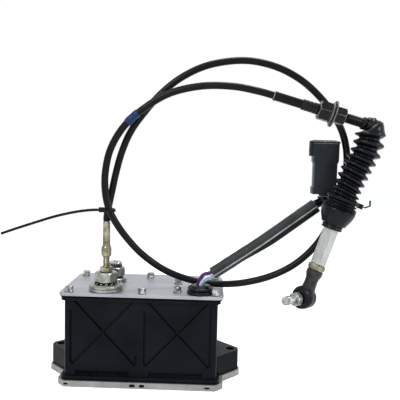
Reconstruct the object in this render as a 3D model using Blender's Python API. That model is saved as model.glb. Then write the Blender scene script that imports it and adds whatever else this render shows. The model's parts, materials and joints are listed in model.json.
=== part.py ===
"""An engine throttle motor with its control cable.

A moulded gear housing stands on a cast base plate under a plated top plate. Inside, a motor turns a cable
drum through an idler. The control cable leaves a gland on the top plate, makes a turn and a half as a
standing loop, and ends in a bulkhead fitting, rubber bellows, a hexagonal rod and a ball-joint rod end. A
wiring lead leaves a grommet and ends in a six-way connector.

The frame: +X to the right, +Y to the back, +Z up, the origin at the middle of the base plate's underside.
Sizes are in millimetres, and each mesh is scaled to metres as it is made.
"""
import math

import bmesh
import bpy
from mathutils import Matrix, Vector

MM = 0.001

# Clearances
SEAT_GAP = 0.3            # between a piece and what it rests on or sits in
CUT_MARGIN = 1.0          # how far a cutter runs past the face that it cuts

# Housing
HOUSING_HALF_X = 76.0
HOUSING_HALF_Y = 43.0
HOUSING_CORNER = 3.5
HOUSING_HEIGHT = 81.2
HOUSING_WALL_X = 3.5
GROOVE_DEPTH = 1.5        # of the lines on the front and back panels
GROOVE_WIDTH = 1.5
PANEL_SKIN = 3.2          # what is left of the wall behind a groove
FLANGE_LIP = 2.8
FLANGE_THICK = 2.6
EAR_BLOCK_TOP = 27.0
EAR_BLOCK_INSET = 1.6     # the moulded ear stands back from the base plate's ear
GASKET_THICK = 1.4
CAVITY_CORNER = 13.0      # the cavity's corners are cut off to leave the screw bosses
MIDDLE_BOSS_HALF = 5.5    # half the width of the bosses for the two middle screws
MIDDLE_BOSS_REACH = 13.2  # of the one at the back
FRONT_BOSS_REACH = 4.7
FRONT_Y = -HOUSING_HALF_Y                     # what stands on the top plate is placed from the front face
INNER_HALF_X = HOUSING_HALF_X - HOUSING_WALL_X
INNER_HALF_Y = HOUSING_HALF_Y - GROOVE_DEPTH - PANEL_SKIN

# Base plate and its mounting ears
BASE_HALF_X = HOUSING_HALF_X + 6.5
BASE_HALF_Y = HOUSING_HALF_Y + 4.0
BASE_THICK = 6.0
BASE_CHAMFER = 7.5
EAR_REACH = BASE_HALF_X + 18.0      # from the middle to the ear's end
EAR_END_HALF = 4.0        # half the width of the ear's blunt end
EAR_HOLE_X = BASE_HALF_X + 8.0
EAR_HOLE_RADIUS = 4.25
BOARD_POST_RADIUS = 3.0
BOARD_POST_HEIGHT = 8.0

# Small cast recesses in the base plate's front edge: the middle of each, its width and its height
BASE_MARK_DEPTH = 1.5
BASE_MARKS = [
    (9.5 - BASE_HALF_X, 4.4, 2.0),
    (-7.0, 5.6, 3.0),
    (2.6, 5.0, 3.0),
    (BASE_HALF_X - 15.5, 5.4, 2.0),
]

# Top plate
TOP_HALF_X = HOUSING_HALF_X + 5.5
TOP_HALF_Y = HOUSING_HALF_Y + 3.0
TOP_THICK = 3.0
TOP_CORNER = 7.0
SCREW_FLANGE_RADIUS = 4.1
SCREW_FLANGE_THICK = 1.0
SCREW_FLATS = 7.0
SCREW_HEAD_HEIGHT = 5.2
SCREW_RADIUS = 1.9
SCREW_LENGTH = 12.0
SCREW_PLACES = {
    "front_left": (4.0 - HOUSING_HALF_X, 4.2 - HOUSING_HALF_Y),
    "back_left": (4.0 - HOUSING_HALF_X, HOUSING_HALF_Y - 10.4),
    "front_middle": (0.8, 4.2 - HOUSING_HALF_Y),
    "back_middle": (0.8, HOUSING_HALF_Y - 11.8),
    "front_inner": (35.0, 12.5 - HOUSING_HALF_Y),
    "back_inner": (33.5, 7.0),
    "front_right": (HOUSING_HALF_X - 2.6, 3.8 - HOUSING_HALF_Y),
    "back_right": (HOUSING_HALF_X - 3.0, HOUSING_HALF_Y - 10.4),
}

# Heights that follow from the stack
GASKET_LOW = BASE_THICK + SEAT_GAP
HOUSING_LOW = GASKET_LOW + GASKET_THICK + SEAT_GAP
HOUSING_TOP = HOUSING_LOW + HOUSING_HEIGHT
TOP_GASKET_LOW = HOUSING_TOP + SEAT_GAP
TOP_LOW = TOP_GASKET_LOW + GASKET_THICK + SEAT_GAP
TOP_FACE = TOP_LOW + TOP_THICK

# Grooved panels: an X of two lines, a line up each side and a sloped one along the foot
PANEL_INNER_X = 4.2
PANEL_OUTER_X = HOUSING_HALF_X - 7.0
PANEL_FOOT = HOUSING_LOW + 4.2
PANEL_LOW = HOUSING_LOW + 14.6
PANEL_HIGH = HOUSING_TOP - 3.7
PANEL_INSET = 4.2         # from a panel's side to the upper end of a diagonal
PANEL_TURN = 1.6          # the rounded corner where a diagonal meets a side line
PANEL_SLOPE = 4.2         # the height of the slope over the foot line
PANEL_SIDES = [(0.85, 0.14), (0.85, 0.94)]    # how far up its panel each side line runs

# Gland, on its own upright axis
GLAND_X = -37.2
GLAND_Y = FRONT_Y + 14.6
GLAND_BORE = 3.8
STEM_RADIUS = 3.4
GLAND_FLANGE_RADIUS = 17.0
GLAND_FLANGE_HEIGHT = 6.4
GLAND_WASHER_RADIUS = 12.2
GLAND_WASHER_THICK = 1.2
GLAND_NUT_FLATS = 20.4
GLAND_NUT_HEIGHT = 10.0
JAM_NUT_FLATS = 11.8
JAM_NUT_HEIGHT = 4.6
STEM_DEPTH = 5.0          # how far the stem reaches below the top plate
BULGE_LOW = TOP_FACE + 34.8
BULGE_HIGH = TOP_FACE + 43.8
BULGE_RADIUS = 5.2
FERRULE_RADIUS = 3.7
FERRULE_TOP = TOP_FACE + 68.8

# Plug behind the gland
PLUG_X = -29.8
PLUG_Y = FRONT_Y + 52.5
PLUG_FLANGE_RADIUS = 10.4
PLUG_FLANGE_HEIGHT = 4.4
PLUG_FLATS = 15.2
PLUG_HEX_HEIGHT = 11.0
PLUG_NECK_RADIUS = 5.0
PLUG_CAP_RADIUS = 6.0
PLUG_CAP_HEIGHT = 5.8
PLUG_CAP_RIDGES = 16

# Grommet and the wires in it
GROMMET_X = HOUSING_HALF_X - 18.0
GROMMET_Y = FRONT_Y + 10.6
GROMMET_RADIUS = 12.4
GROMMET_HEIGHT = 8.6
GROMMET_NECK = 6.4
GROMMET_BORE = 4.0
WIRE_RADIUS = 1.2
WIRE_RING = 2.1           # the wires' distance from the grommet's axis
WIRES = {"purple_wire": 135.0, "white_wire": 225.0, "blue_wire": 315.0, "dark_wire": 45.0}

# Control cable and wiring lead
CONDUIT_RADIUS = 3.5
SLEEVE_RADIUS = 6.0
TAIL_RADIUS = 3.6

# Connector
CONNECTOR_Y = FRONT_Y + 30.0
CONNECTOR_LEFT = 167.8
CONNECTOR_RIGHT = 193.0
CONNECTOR_LOW = TOP_FACE + 102.4
CONNECTOR_TOP = TOP_FACE + 156.0
CONNECTOR_DEPTH = 18.0
CONNECTOR_NARROWING = 2.2
CONNECTOR_WALL = 1.8
SOCKET_DEPTH = 24.0
LATCH_WIDTH = 8.0
CONTACT_COUNT = 3         # contacts in each of two rows
CONTACT_HALF = 0.9
CONTACT_LENGTH = 9.0

# Bulkhead fitting, on the axis from the label sleeve to the bellows
CABLE_END_Y = FRONT_Y + 3.0
FITTING_START = Vector((123.7, CABLE_END_Y, TOP_FACE + 195.4))
FITTING_END = Vector((212.9, CABLE_END_Y, TOP_FACE + 170.0))
LABEL_LENGTH = 26.0
LABEL_RADIUS = 4.5
CRIMP_START = 28.0
CRIMP_RADIUS = 5.3
FLANGE_NUT_START = 44.5
FLANGE_NUT_FLATS = 16.4
FLANGE_NUT_LENGTH = 12.0
BULKHEAD_WASHER_RADIUS = 12.6
BULKHEAD_WASHER_THICK = 3.4
LOCK_NUT_FLATS = 15.0
LOCK_NUT_LENGTH = 10.4
TUBE_RADIUS = 4.8
COLLAR_RADIUS = 6.0
COLLAR_START = 87.5
COLLAR_LENGTH = 3.6
TUBE_END = 94.6

# Rod and rod end, on the axis of the rod
ROD_TOP = Vector((187.6, CABLE_END_Y, TOP_FACE + 81.8))
ROD_DIRECTION = Vector((-11.8, 0.0, -35.5)).normalized()
ROD_FLATS = 11.6
ROD_LENGTH = 50.0
ROD_NUT_FLATS = 12.6
ROD_NUT_LENGTH = 5.6
BALL_CENTRE_ALONG = 85.2  # from the rod's top to the middle of the ball
ROD_STUD_RADIUS = 3.6
ROD_END_COLLAR = 7.6
SHANK_RADIUS = 5.3
HEAD_RADIUS = 10.4
HEAD_HALF = 5.6
BALL_RADIUS = 6.2
BALL_GAP = 0.35
STUD_TILT = math.radians(12.0)
STUD_NECK = 3.0
STUD_FLATS = 11.0
STUD_THREAD_RADIUS = 3.9
STUD_HEX_START = 11.2
STUD_HEX_LENGTH = 5.2
STUD_LENGTH = 30.0

# Drive inside the housing
AXIS_HEIGHT = 44.0
DRUM_RADIUS = 21.0        # to the bottom of the cable groove
DRUM_RIM = 24.6
DRUM_HALF = 3.5
DRUM_WIRE_RADIUS = 0.9
SHAFT_RADIUS = 5.0
OUTPUT_TEETH = 54
OUTPUT_MODULE = 1.0
IDLER_SMALL_TEETH = 12
IDLER_LARGE_TEETH = 40
MOTOR_MODULE = 0.8
PINION_TEETH = 12
GEAR_WIDTH = 6.4
FRAME_FRONT_Y = GLAND_Y + 18.8
FRAME_THICK = 5.0
FRAME_HALF_X = INNER_HALF_X - 19.5
FRAME_TOP = HOUSING_TOP - 17.2
FRAME_FOOT = 18.0
TONGUE_HALF = 6.5         # a tongue from the frame's top takes the two inner screws of the top plate
TONGUE_THICK = 4.6
TONGUE_END = 6.0          # how far the tongue runs past each screw
BUSH_RADIUS = 8.0
IDLER_PIN_RADIUS = 2.5
MOTOR_SHAFT_RADIUS = 2.2
MOTOR_RADIUS = 17.0
END_BELL_LENGTH = 6.5
MOTOR_CLEARANCE = 4.8     # from the motor's back to the housing's back wall
MOTOR_FRONT_Y = FRAME_FRONT_Y + FRAME_THICK + END_BELL_LENGTH + 2 * SEAT_GAP
MOTOR_LENGTH = INNER_HALF_Y - MOTOR_CLEARANCE - MOTOR_FRONT_Y
SENSOR_RADIUS = 15.0
SENSOR_LENGTH = 11.0
BOARD_FRONT_Y = FRAME_FRONT_Y + FRAME_THICK + 5.6
BOARD_BACK_Y = INNER_HALF_Y - 9.3
BOARD_SIZE = (44.0, BOARD_BACK_Y - BOARD_FRONT_Y, 1.6)
BOARD_CENTRE = (34.0 - HOUSING_HALF_X, (BOARD_FRONT_Y + BOARD_BACK_Y) / 2)

# The drum's groove lies under the gland, so that the wire rises straight into it.
WIRE_REACH = DRUM_RADIUS + DRUM_WIRE_RADIUS + SEAT_GAP
DRUM_X = GLAND_X + WIRE_REACH
IDLER_X = DRUM_X + OUTPUT_MODULE * (OUTPUT_TEETH + IDLER_SMALL_TEETH) / 2
MOTOR_X = IDLER_X + MOTOR_MODULE * (IDLER_LARGE_TEETH + PINION_TEETH) / 2

# Routes over the top plate, chosen by hand: X, the distance behind the housing's front face, and the height
# over the plate. First the control cable, from the ferrule round the loop to the fitting.
CONDUIT_ROUTE = [(GLAND_X, GLAND_Y, FERRULE_TOP + 2 * SEAT_GAP)]
CONDUIT_ROUTE += [(x, FRONT_Y + depth, TOP_FACE + height) for x, depth, height in (
    (-37.0, 14.7, 75.8),
    (-35.2, 15.0, 85.8),
    (-32.2, 15.6, 100.8),
    (-28.9, 16.2, 117.3),
    (-23.6, 17.2, 137.8),
    (-15.0, 18.0, 158.8),
    (-1.5, 18.4, 178.3),
    (15.5, 19.0, 197.8),
    (36.0, 20.0, 214.2),
    (62.0, 21.0, 226.2),
    (95.0, 22.2, 231.2),
    (125.0, 23.4, 226.6),
    (151.0, 24.4, 214.6),
    (172.0, 25.6, 197.4),
    (188.0, 26.4, 177.8),
    (198.0, 27.0, 157.3),
    (201.6, 27.0, 133.8),
    (198.4, 27.0, 106.8),
    (189.0, 27.0, 75.8),
    (175.0, 27.0, 50.3),
    (155.0, 27.0, 30.0),
    (131.0, 27.4, 16.4),
    (105.0, 29.4, 8.2),
    (82.0, 31.6, 5.1),
    (58.2, 33.0, 6.0),
    (36.0, 32.4, 11.4),
    (16.0, 28.2, 21.2),
    (-3.0, 21.4, 36.6),
    (-17.0, 15.0, 53.2),
    (-27.0, 9.4, 68.8),
    (-33.6, 7.1, 82.8),
    (-37.3, 7.0, 98.8),
    (-37.6, 7.4, 118.8),
    (-32.6, 8.0, 141.8),
    (-20.0, 8.2, 163.4),
    (-1.5, 8.0, 180.6),
    (24.0, 7.6, 196.0),
    (55.0, 6.4, 203.4),
    (85.0, 4.6, 203.4),
    (109.0, 3.2, 199.2),
)]
CABLE_STEP = 15.0
TAPE_MIDDLE = Vector((-11.5, FRONT_Y + 8.1, TOP_FACE + 171.8))

# Route of the wiring sleeve from the grommet's wires to the connector
SLEEVE_ROUTE = [(GROMMET_X + 11.8, GROMMET_Y + 1.0, TOP_FACE + 20.0)]
SLEEVE_ROUTE += [(x, FRONT_Y + depth, TOP_FACE + height) for x, depth, height in (
    (112.0, 17.0, 48.0),
    (127.4, 19.8, 58.6),
    (142.4, 22.8, 69.2),
    (157.0, 25.8, 79.6),
    (171.4, 28.4, 89.8),
)]
TAIL_ROUTE = [(x, FRONT_Y + depth, TOP_FACE + height) for x, depth, height in (
    (172.3, 28.5, 90.5),
    (175.2, 29.1, 91.8),
    (178.5, 29.7, 93.6),
    (180.3, 30.0, 95.6),
    (180.4, 30.0, 98.0),
)]

# Route of the bellows: the X of each ring's middle, its height over the plate, its lean in degrees, its radius
BELLOWS_FOLDS = [(x, TOP_FACE + height, lean, radius) for x, height, lean, radius in (
    (216.4, 160.8, 4.0, 14.4),
    (215.3, 151.6, 12.0, 14.6),
    (212.8, 142.8, 18.0, 14.6),
    (209.0, 136.2, 22.0, 14.6),
    (205.8, 129.6, 25.0, 14.5),
    (203.2, 123.6, 27.0, 14.3),
    (200.4, 117.0, 28.5, 14.2),
    (197.9, 110.6, 29.0, 14.0),
    (195.6, 104.6, 27.0, 14.2),
    (194.2, 101.0, 25.0, 14.4),
    (193.1, 97.7, 23.0, 14.8),
    (192.2, 94.6, 21.0, 15.4),
)]
BELLOWS_SHOULDER = [(x, TOP_FACE + height, lean, radius) for x, height, lean, radius in (
    (216.6, 168.0, -34.0, 11.4),
    (216.5, 165.2, -14.0, 12.6),
)]
BELLOWS_DIP = 5.0         # from a fold's crest to the valley beside it
BELLOWS_DIP_SHARE = 0.62  # but no more than this share of the distance to the next crest
BELLOWS_BORE = 8.2
BELLOWS_THROAT = (217.0, TOP_FACE + 166.0, -22.0)      # the bend of the bore inside the shoulder
CORE_BEND = [(219.9, TOP_FACE + 165.4), (218.8, TOP_FACE + 159.8)]
CUP_RINGS = [(x, TOP_FACE + height, lean, radius) for x, height, lean, radius in (
    (191.0, 91.6, 19.5, 16.4),
    (189.8, 87.8, 18.8, 16.6),
    (187.5, 81.4, 18.4, 15.2),
    (185.7, 76.0, 18.4, 12.6),
    (184.95, 73.8, 18.4, 11.6),
)]
CUFF_RADIUS = 9.6
CUFF_START = 8.75         # along the rod from its top
CUFF_LENGTH = 4.6

# Cable ties
TIE_WIDTH = 2.6
TIE_THICK = 1.1
UPPER_TIE_HEIGHT = TOP_FACE + 81.2
UPPER_TIE_CIRCLES = [(-35.9, FRONT_Y + 14.9, 4.7), (-33.0, FRONT_Y + 7.2, 4.9)]
UPPER_TIE_HEAD = (-41.6, FRONT_Y + 11.0)
UPPER_TIE_TAIL = [(x, FRONT_Y + depth, TOP_FACE + height) for x, depth, height in (
    (-41.0, 11.0, 80.8),
    (-46.0, 9.0, 81.2),
    (-56.0, 6.4, 80.6),
    (-70.0, 5.0, 78.2),
    (-88.0, 5.0, 73.6),
    (-106.0, 5.0, 67.6),
    (-124.0, 5.0, 61.4),
    (-140.0, 5.0, 55.6),
)]
LOWER_TIE_MIDDLE = (193.15, CABLE_END_Y, TOP_FACE + 97.9)
LOWER_TIE_TILT = math.radians(20.0)           # it lies along the folds, lower on the right
LOWER_TIE_CIRCLES = [(0.0, 0.0, 15.4), (2.7, 24.0, 4.2)]      # bellows and cable, in the tie's own plane
LOWER_TIE_HEAD = (17.9, 0.0)
LOWER_TIE_TAIL = [(x, FRONT_Y + depth, TOP_FACE + height) for x, depth, height in (
    (210.4, 3.4, 91.6),
    (213.6, 4.2, 90.8),
    (217.4, 4.8, 90.2),
    (219.8, 5.0, 91.7),
    (220.5, 5.0, 94.5),
    (220.0, 5.0, 97.3),
)]

COLOURS = {
    "cast_alloy": ((0.52, 0.52, 0.50), 0.45, 0.9),
    "plated_plate": ((0.44, 0.45, 0.50), 0.38, 0.9),
    "black_moulding": ((0.012, 0.014, 0.017), 0.28, 0.0),
    "gasket": ((0.012, 0.012, 0.013), 0.7, 0.0),
    "zinc": ((0.48, 0.48, 0.42), 0.35, 0.9),
    "yellow_zinc": ((0.36, 0.31, 0.14), 0.4, 0.9),
    "rubber": ((0.012, 0.012, 0.014), 0.55, 0.0),
    "sleeve": ((0.035, 0.042, 0.042), 0.45, 0.0),
    "conduit": ((0.022, 0.023, 0.025), 0.4, 0.0),
    "purple_wire": ((0.12, 0.05, 0.20), 0.4, 0.0),
    "white_wire": ((0.75, 0.75, 0.75), 0.4, 0.0),
    "blue_wire": ((0.30, 0.50, 0.62), 0.4, 0.0),
    "dark_wire": ((0.02, 0.02, 0.02), 0.4, 0.0),
    "blue_tape": ((0.01, 0.05, 0.19), 0.4, 0.0),
    "black_steel": ((0.05, 0.05, 0.05), 0.4, 0.8),
    "bright_steel": ((0.55, 0.56, 0.54), 0.3, 0.9),
    "dark_steel": ((0.09, 0.09, 0.085), 0.5, 0.7),
    "nylon": ((0.015, 0.015, 0.015), 0.4, 0.0),
    "gear_steel": ((0.45, 0.45, 0.46), 0.35, 0.9),
    "bronze": ((0.45, 0.28, 0.12), 0.4, 0.9),
    "board": ((0.03, 0.16, 0.06), 0.5, 0.0),
}


def clear_scene():
    """Removes what is in the scene before the model is made."""
    for thing in list(bpy.data.objects):
        bpy.data.objects.remove(thing)


def material(name):
    """The material of that name, made the first time that it is asked for."""
    found = bpy.data.materials.get(name)
    if found:
        return found
    colour, roughness, metallic = COLOURS[name]
    made = bpy.data.materials.new(name)
    made.use_nodes = True
    shader = made.node_tree.nodes["Principled BSDF"]
    shader.inputs["Base Color"].default_value = (*colour, 1.0)
    shader.inputs["Roughness"].default_value = roughness
    shader.inputs["Metallic"].default_value = metallic
    made.diffuse_color = (*colour, 1.0)
    return made


# Placing

def at(x, y, z):
    """A place with the axes of the whole."""
    return Matrix.Translation(Vector((x, y, z)))


def along(start, direction, side=Vector((0, 1, 0))):
    """A place whose own +Z runs along a direction, with its +X turned towards side."""
    z_axis = Vector(direction).normalized()
    x_axis = (side - z_axis * side.dot(z_axis)).normalized()
    y_axis = z_axis.cross(x_axis)
    turn = Matrix((x_axis, y_axis, z_axis)).transposed().to_4x4()
    return Matrix.Translation(Vector(start)) @ turn


def in_metres(place):
    """The same place with its position in metres."""
    scaled = place.copy()
    scaled.translation = place.translation * MM
    return scaled


def make(name, shape, finish, place, sharp=35.0):
    """Turns a shape in millimetres into a named object at its place."""
    bmesh.ops.recalc_face_normals(shape, faces=shape.faces)
    bmesh.ops.scale(shape, vec=(MM, MM, MM), verts=shape.verts)
    mesh = bpy.data.meshes.new(name)
    shape.to_mesh(mesh)
    shape.free()
    mesh.shade_smooth()
    mesh.set_sharp_from_angle(angle=math.radians(sharp))
    made = bpy.data.objects.new(name, mesh)
    bpy.context.scene.collection.objects.link(made)
    made.matrix_world = in_metres(place)
    if finish:
        made.data.materials.append(material(finish))
    return made


def guide(shape, place):
    """A shape that only cuts or adds to another: it is never part of the model by itself."""
    made = make("guide", shape, None, place)
    made.hide_render = True
    made.display_type = "WIRE"
    return made


def combine(target, shape, place, operation):
    """Cuts a shape from an object, or adds it."""
    step = target.modifiers.new(operation.lower(), "BOOLEAN")
    step.operation = operation
    step.solver = "EXACT"
    step.object = guide(shape, place)
    return target


def cut(target, shape, place):
    return combine(target, shape, place, "DIFFERENCE")


def add(target, shape, place):
    return combine(target, shape, place, "UNION")


def joint_empty(name, place, pieces):
    """An empty on a joint's axis that carries the pieces that move with it."""
    empty = bpy.data.objects.new(name, None)
    bpy.context.scene.collection.objects.link(empty)
    empty.matrix_world = in_metres(place)
    bpy.context.view_layer.update()
    for piece in pieces:
        piece.parent = empty
        piece.matrix_parent_inverse = empty.matrix_world.inverted()
    return empty


# Shapes

def turned(outline, sides, ring=False):
    """A body turned about Z from an outline of (radius, height); a ring's outline closes on itself."""
    shape = bmesh.new()
    points = [shape.verts.new((radius, 0.0, height)) for radius, height in outline]
    edges = [shape.edges.new(pair) for pair in zip(points, points[1:])]
    if ring:
        edges.append(shape.edges.new((points[-1], points[0])))
    bmesh.ops.spin(shape, geom=points + edges, cent=(0, 0, 0), axis=(0, 0, 1), angle=2 * math.pi, steps=sides)
    bmesh.ops.remove_doubles(shape, verts=shape.verts, dist=0.001)
    return shape


def tube(inner, outer, low, high, sides):
    """A plain ring of rectangular section."""
    outline = [(inner, low), (outer, low), (outer, high), (inner, high)]
    return turned(outline, sides, ring=True)


def rod(radius, low, high, sides, chamfer=0.0):
    """A round bar with chamfered ends."""
    outline = [(0.0, low), (radius - chamfer, low)]
    if chamfer:
        outline += [(radius, low + chamfer), (radius, high - chamfer)]
        outline += [(radius - chamfer, high), (0.0, high)]
    else:
        outline += [(radius, high), (0.0, high)]
    return turned(outline, sides)


def prism(outline, low, high):
    """An outline in X and Y raised from one height to another."""
    shape = bmesh.new()
    face = shape.faces.new([shape.verts.new((x, y, low)) for x, y in outline])
    raised = bmesh.ops.extrude_face_region(shape, geom=[face])
    moved = [item for item in raised["geom"] if isinstance(item, bmesh.types.BMVert)]
    bmesh.ops.translate(shape, vec=(0, 0, high - low), verts=moved)
    return shape


def arc(centre_x, centre_y, radius, start, end, steps):
    """Points on an arc, with its angles in degrees."""
    points = []
    for step in range(steps + 1):
        angle = math.radians(start + (end - start) * step / steps)
        points.append((centre_x + radius * math.cos(angle), centre_y + radius * math.sin(angle)))
    return points


def rounded_rectangle(half_x, half_y, corner, steps=4):
    """A rectangle about the origin with round corners."""
    inner_x = half_x - corner
    inner_y = half_y - corner
    points = arc(inner_x, -inner_y, corner, -90, 0, steps)
    points += arc(inner_x, inner_y, corner, 0, 90, steps)
    points += arc(-inner_x, inner_y, corner, 90, 180, steps)
    points += arc(-inner_x, -inner_y, corner, 180, 270, steps)
    return points


def hexagon(flats):
    """A hexagon of a given size across its flats, with a corner on X."""
    return arc(0, 0, flats / math.sqrt(3), 0, 300, 5)


def nut(flats, bore, length, sides=18):
    """A hexagonal nut with its corners turned down at both ends."""
    shape = bmesh.new()
    outer = hexagon(flats)
    corner_radius = flats / math.sqrt(3)
    drop = (corner_radius - flats / 2) * 0.6
    levels = [(0.0, flats / 2), (drop, corner_radius), (length - drop, corner_radius), (length, flats / 2)]
    rings = []
    for height, reach in levels:
        scale = reach / corner_radius
        rings.append([shape.verts.new((x * scale, y * scale, height)) for x, y in outer])
    for low, high in zip(rings, rings[1:]):
        bmesh.ops.bridge_loops(shape, edges=loop_edges(shape, low) + loop_edges(shape, high))
    bore_low = [shape.verts.new((x, y, 0.0)) for x, y in arc(0, 0, bore, 0, 360 - 360 / sides, sides - 1)]
    bore_high = [shape.verts.new((x, y, length)) for x, y in arc(0, 0, bore, 0, 360 - 360 / sides, sides - 1)]
    bmesh.ops.bridge_loops(shape, edges=loop_edges(shape, bore_low) + loop_edges(shape, bore_high))
    for outside, inside in ((rings[0], bore_low), (rings[-1], bore_high)):
        both = loop_edges(shape, outside) + loop_edges(shape, inside)
        bmesh.ops.triangle_fill(shape, use_beauty=True, edges=both)
    return shape


def loop_edges(shape, points):
    """The edges of a closed loop of points, made where they are missing."""
    edges = []
    for here, there in zip(points, points[1:] + points[:1]):
        edges.append(shape.edges.get((here, there)) or shape.edges.new((here, there)))
    return edges


def ring_at(centre, normal, side, radius, sides):
    """Points of a circle about a centre, square to a normal, starting towards side."""
    normal = Vector(normal).normalized()
    first = (side - normal * side.dot(normal)).normalized()
    second = normal.cross(first)
    points = []
    for step in range(sides):
        angle = 2 * math.pi * step / sides
        points.append(Vector(centre) + (first * math.cos(angle) + second * math.sin(angle)) * radius)
    return points


def loft(rings, hollow=False):
    """A skin through rings of points; hollow joins the last ring to the first, or else the ends are closed."""
    shape = bmesh.new()
    loops = [[shape.verts.new(point) for point in ring] for ring in rings]
    pairs = list(zip(loops, loops[1:]))
    if hollow:
        pairs.append((loops[-1], loops[0]))
    for low, high in pairs:
        count = len(low)
        for step in range(count):
            after = (step + 1) % count
            shape.faces.new((low[step], low[after], high[after], high[step]))
    if not hollow:
        shape.faces.new(loops[0])
        shape.faces.new(loops[-1])
    return shape


def smooth_path(route, spacing):
    """Evenly spaced points on a smooth curve through a route's own points."""
    points = [Vector(point) for point in route]
    padded = [points[0] * 2 - points[1]] + points + [points[-1] * 2 - points[-2]]
    fine = []
    steps = 24
    for before, here, there, after in zip(padded, padded[1:], padded[2:], padded[3:]):
        for step in range(steps):
            t = step / steps
            fine.append(0.5 * (2 * here + (there - before) * t
                               + (2 * before - 5 * here + 4 * there - after) * t * t
                               + (3 * here - before - 3 * there + after) * t * t * t))
    fine.append(points[-1])
    lengths = [0.0]
    for here, there in zip(fine, fine[1:]):
        lengths.append(lengths[-1] + (there - here).length)
    count = max(2, round(lengths[-1] / spacing))
    path = []
    place = 0
    for step in range(count + 1):
        wanted = lengths[-1] * step / count
        while place < len(fine) - 2 and lengths[place + 1] < wanted:
            place += 1
        share = (wanted - lengths[place]) / max(lengths[place + 1] - lengths[place], 1e-9)
        path.append(fine[place].lerp(fine[place + 1], min(1.0, share)))
    return path


def cord(name, route, radius, spacing, finish, resolution=2):
    """A round cord along a smooth curve through its route, as a curve with filled ends."""
    path = smooth_path(route, spacing)
    curve = bpy.data.curves.new(name, "CURVE")
    curve.dimensions = "3D"
    curve.bevel_depth = radius * MM
    curve.bevel_resolution = resolution
    curve.use_fill_caps = True
    line = curve.splines.new("POLY")
    line.points.add(len(path) - 1)
    for point, place in zip(line.points, path):
        point.co = (*(place * MM), 1.0)
    made = bpy.data.objects.new(name, curve)
    bpy.context.scene.collection.objects.link(made)
    curve.materials.append(material(finish))
    return made


def hull_of_circles(circles, steps=24):
    """The outline of a strap drawn tight round circles of (x, y, radius), counter-clockwise."""
    points = []
    for x, y, radius in circles:
        points += arc(x, y, radius, 0, 360 - 360 / steps, steps - 1)
    points = sorted(set(points))
    half = []
    for ordered in (points, points[::-1]):
        chain = []
        for point in ordered:
            while len(chain) > 1 and turn_of(chain[-2], chain[-1], point) <= 1e-6:
                chain.pop()
            chain.append(point)
        half += chain[:-1]
    return half


def turn_of(first, second, third):
    """Positive where three points turn to the left."""
    return (second[0] - first[0]) * (third[1] - first[1]) - (second[1] - first[1]) * (third[0] - first[0])


def strap(path, width, thick, up):
    """A flat strap along an open path, with its width along up."""
    rings = []
    for index, place in enumerate(path):
        ahead = (path[min(index + 1, len(path) - 1)] - path[max(index - 1, 0)]).normalized()
        wide = (up - ahead * up.dot(ahead)).normalized() * width / 2
        deep = ahead.cross(wide).normalized() * thick / 2
        rings.append([place + wide + deep, place - wide + deep, place - wide - deep, place + wide - deep])
    return loft(rings)


# Base plate, gaskets, housing and top plate

def footprint(half_x, half_y, chamfer, ear_reach, ear_end_half):
    """A rectangle with cut corners and an ear with sloping sides at each end."""
    rise = ear_end_half + ear_reach - half_x
    right = [(half_x - chamfer, -half_y), (half_x, -half_y + chamfer), (half_x, -rise)]
    right += [(ear_reach, -ear_end_half), (ear_reach, ear_end_half)]
    right += [(half_x, rise), (half_x, half_y - chamfer), (half_x - chamfer, half_y)]
    left = [(-x, -y) for x, y in right]
    return right + left


def cavity_outline():
    """The hollow of the housing, with its corners left thick for the screws."""
    half_x = INNER_HALF_X
    half_y = INNER_HALF_Y
    corner = CAVITY_CORNER
    front_x = SCREW_PLACES["front_middle"][0]
    front_y = FRONT_BOSS_REACH - half_y
    boss_x = SCREW_PLACES["back_middle"][0]
    boss_y = half_y - MIDDLE_BOSS_REACH
    outline = [(half_x - corner, -half_y), (half_x, -half_y + corner), (half_x, half_y - corner)]
    outline += [(half_x - corner, half_y), (boss_x + MIDDLE_BOSS_HALF, half_y)]
    outline += [(boss_x + MIDDLE_BOSS_HALF, boss_y)]
    outline += [(boss_x - MIDDLE_BOSS_HALF, boss_y), (boss_x - MIDDLE_BOSS_HALF, half_y)]
    outline += [(-half_x + corner, half_y), (-half_x, half_y - corner)]
    outline += [(-half_x, -half_y + corner), (-half_x + corner, -half_y)]
    outline += [(front_x - MIDDLE_BOSS_HALF, -half_y), (front_x - MIDDLE_BOSS_HALF, front_y)]
    outline += [(front_x + MIDDLE_BOSS_HALF, front_y), (front_x + MIDDLE_BOSS_HALF, -half_y)]
    return outline


def board_posts():
    """The places of the four posts that carry the circuit board."""
    half_x = BOARD_SIZE[0] / 2 - BOARD_POST_RADIUS
    half_y = BOARD_SIZE[1] / 2 - BOARD_POST_RADIUS
    return [(BOARD_CENTRE[0] + sx * half_x, BOARD_CENTRE[1] + sy * half_y) for sx in (-1, 1) for sy in (-1, 1)]


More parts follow.
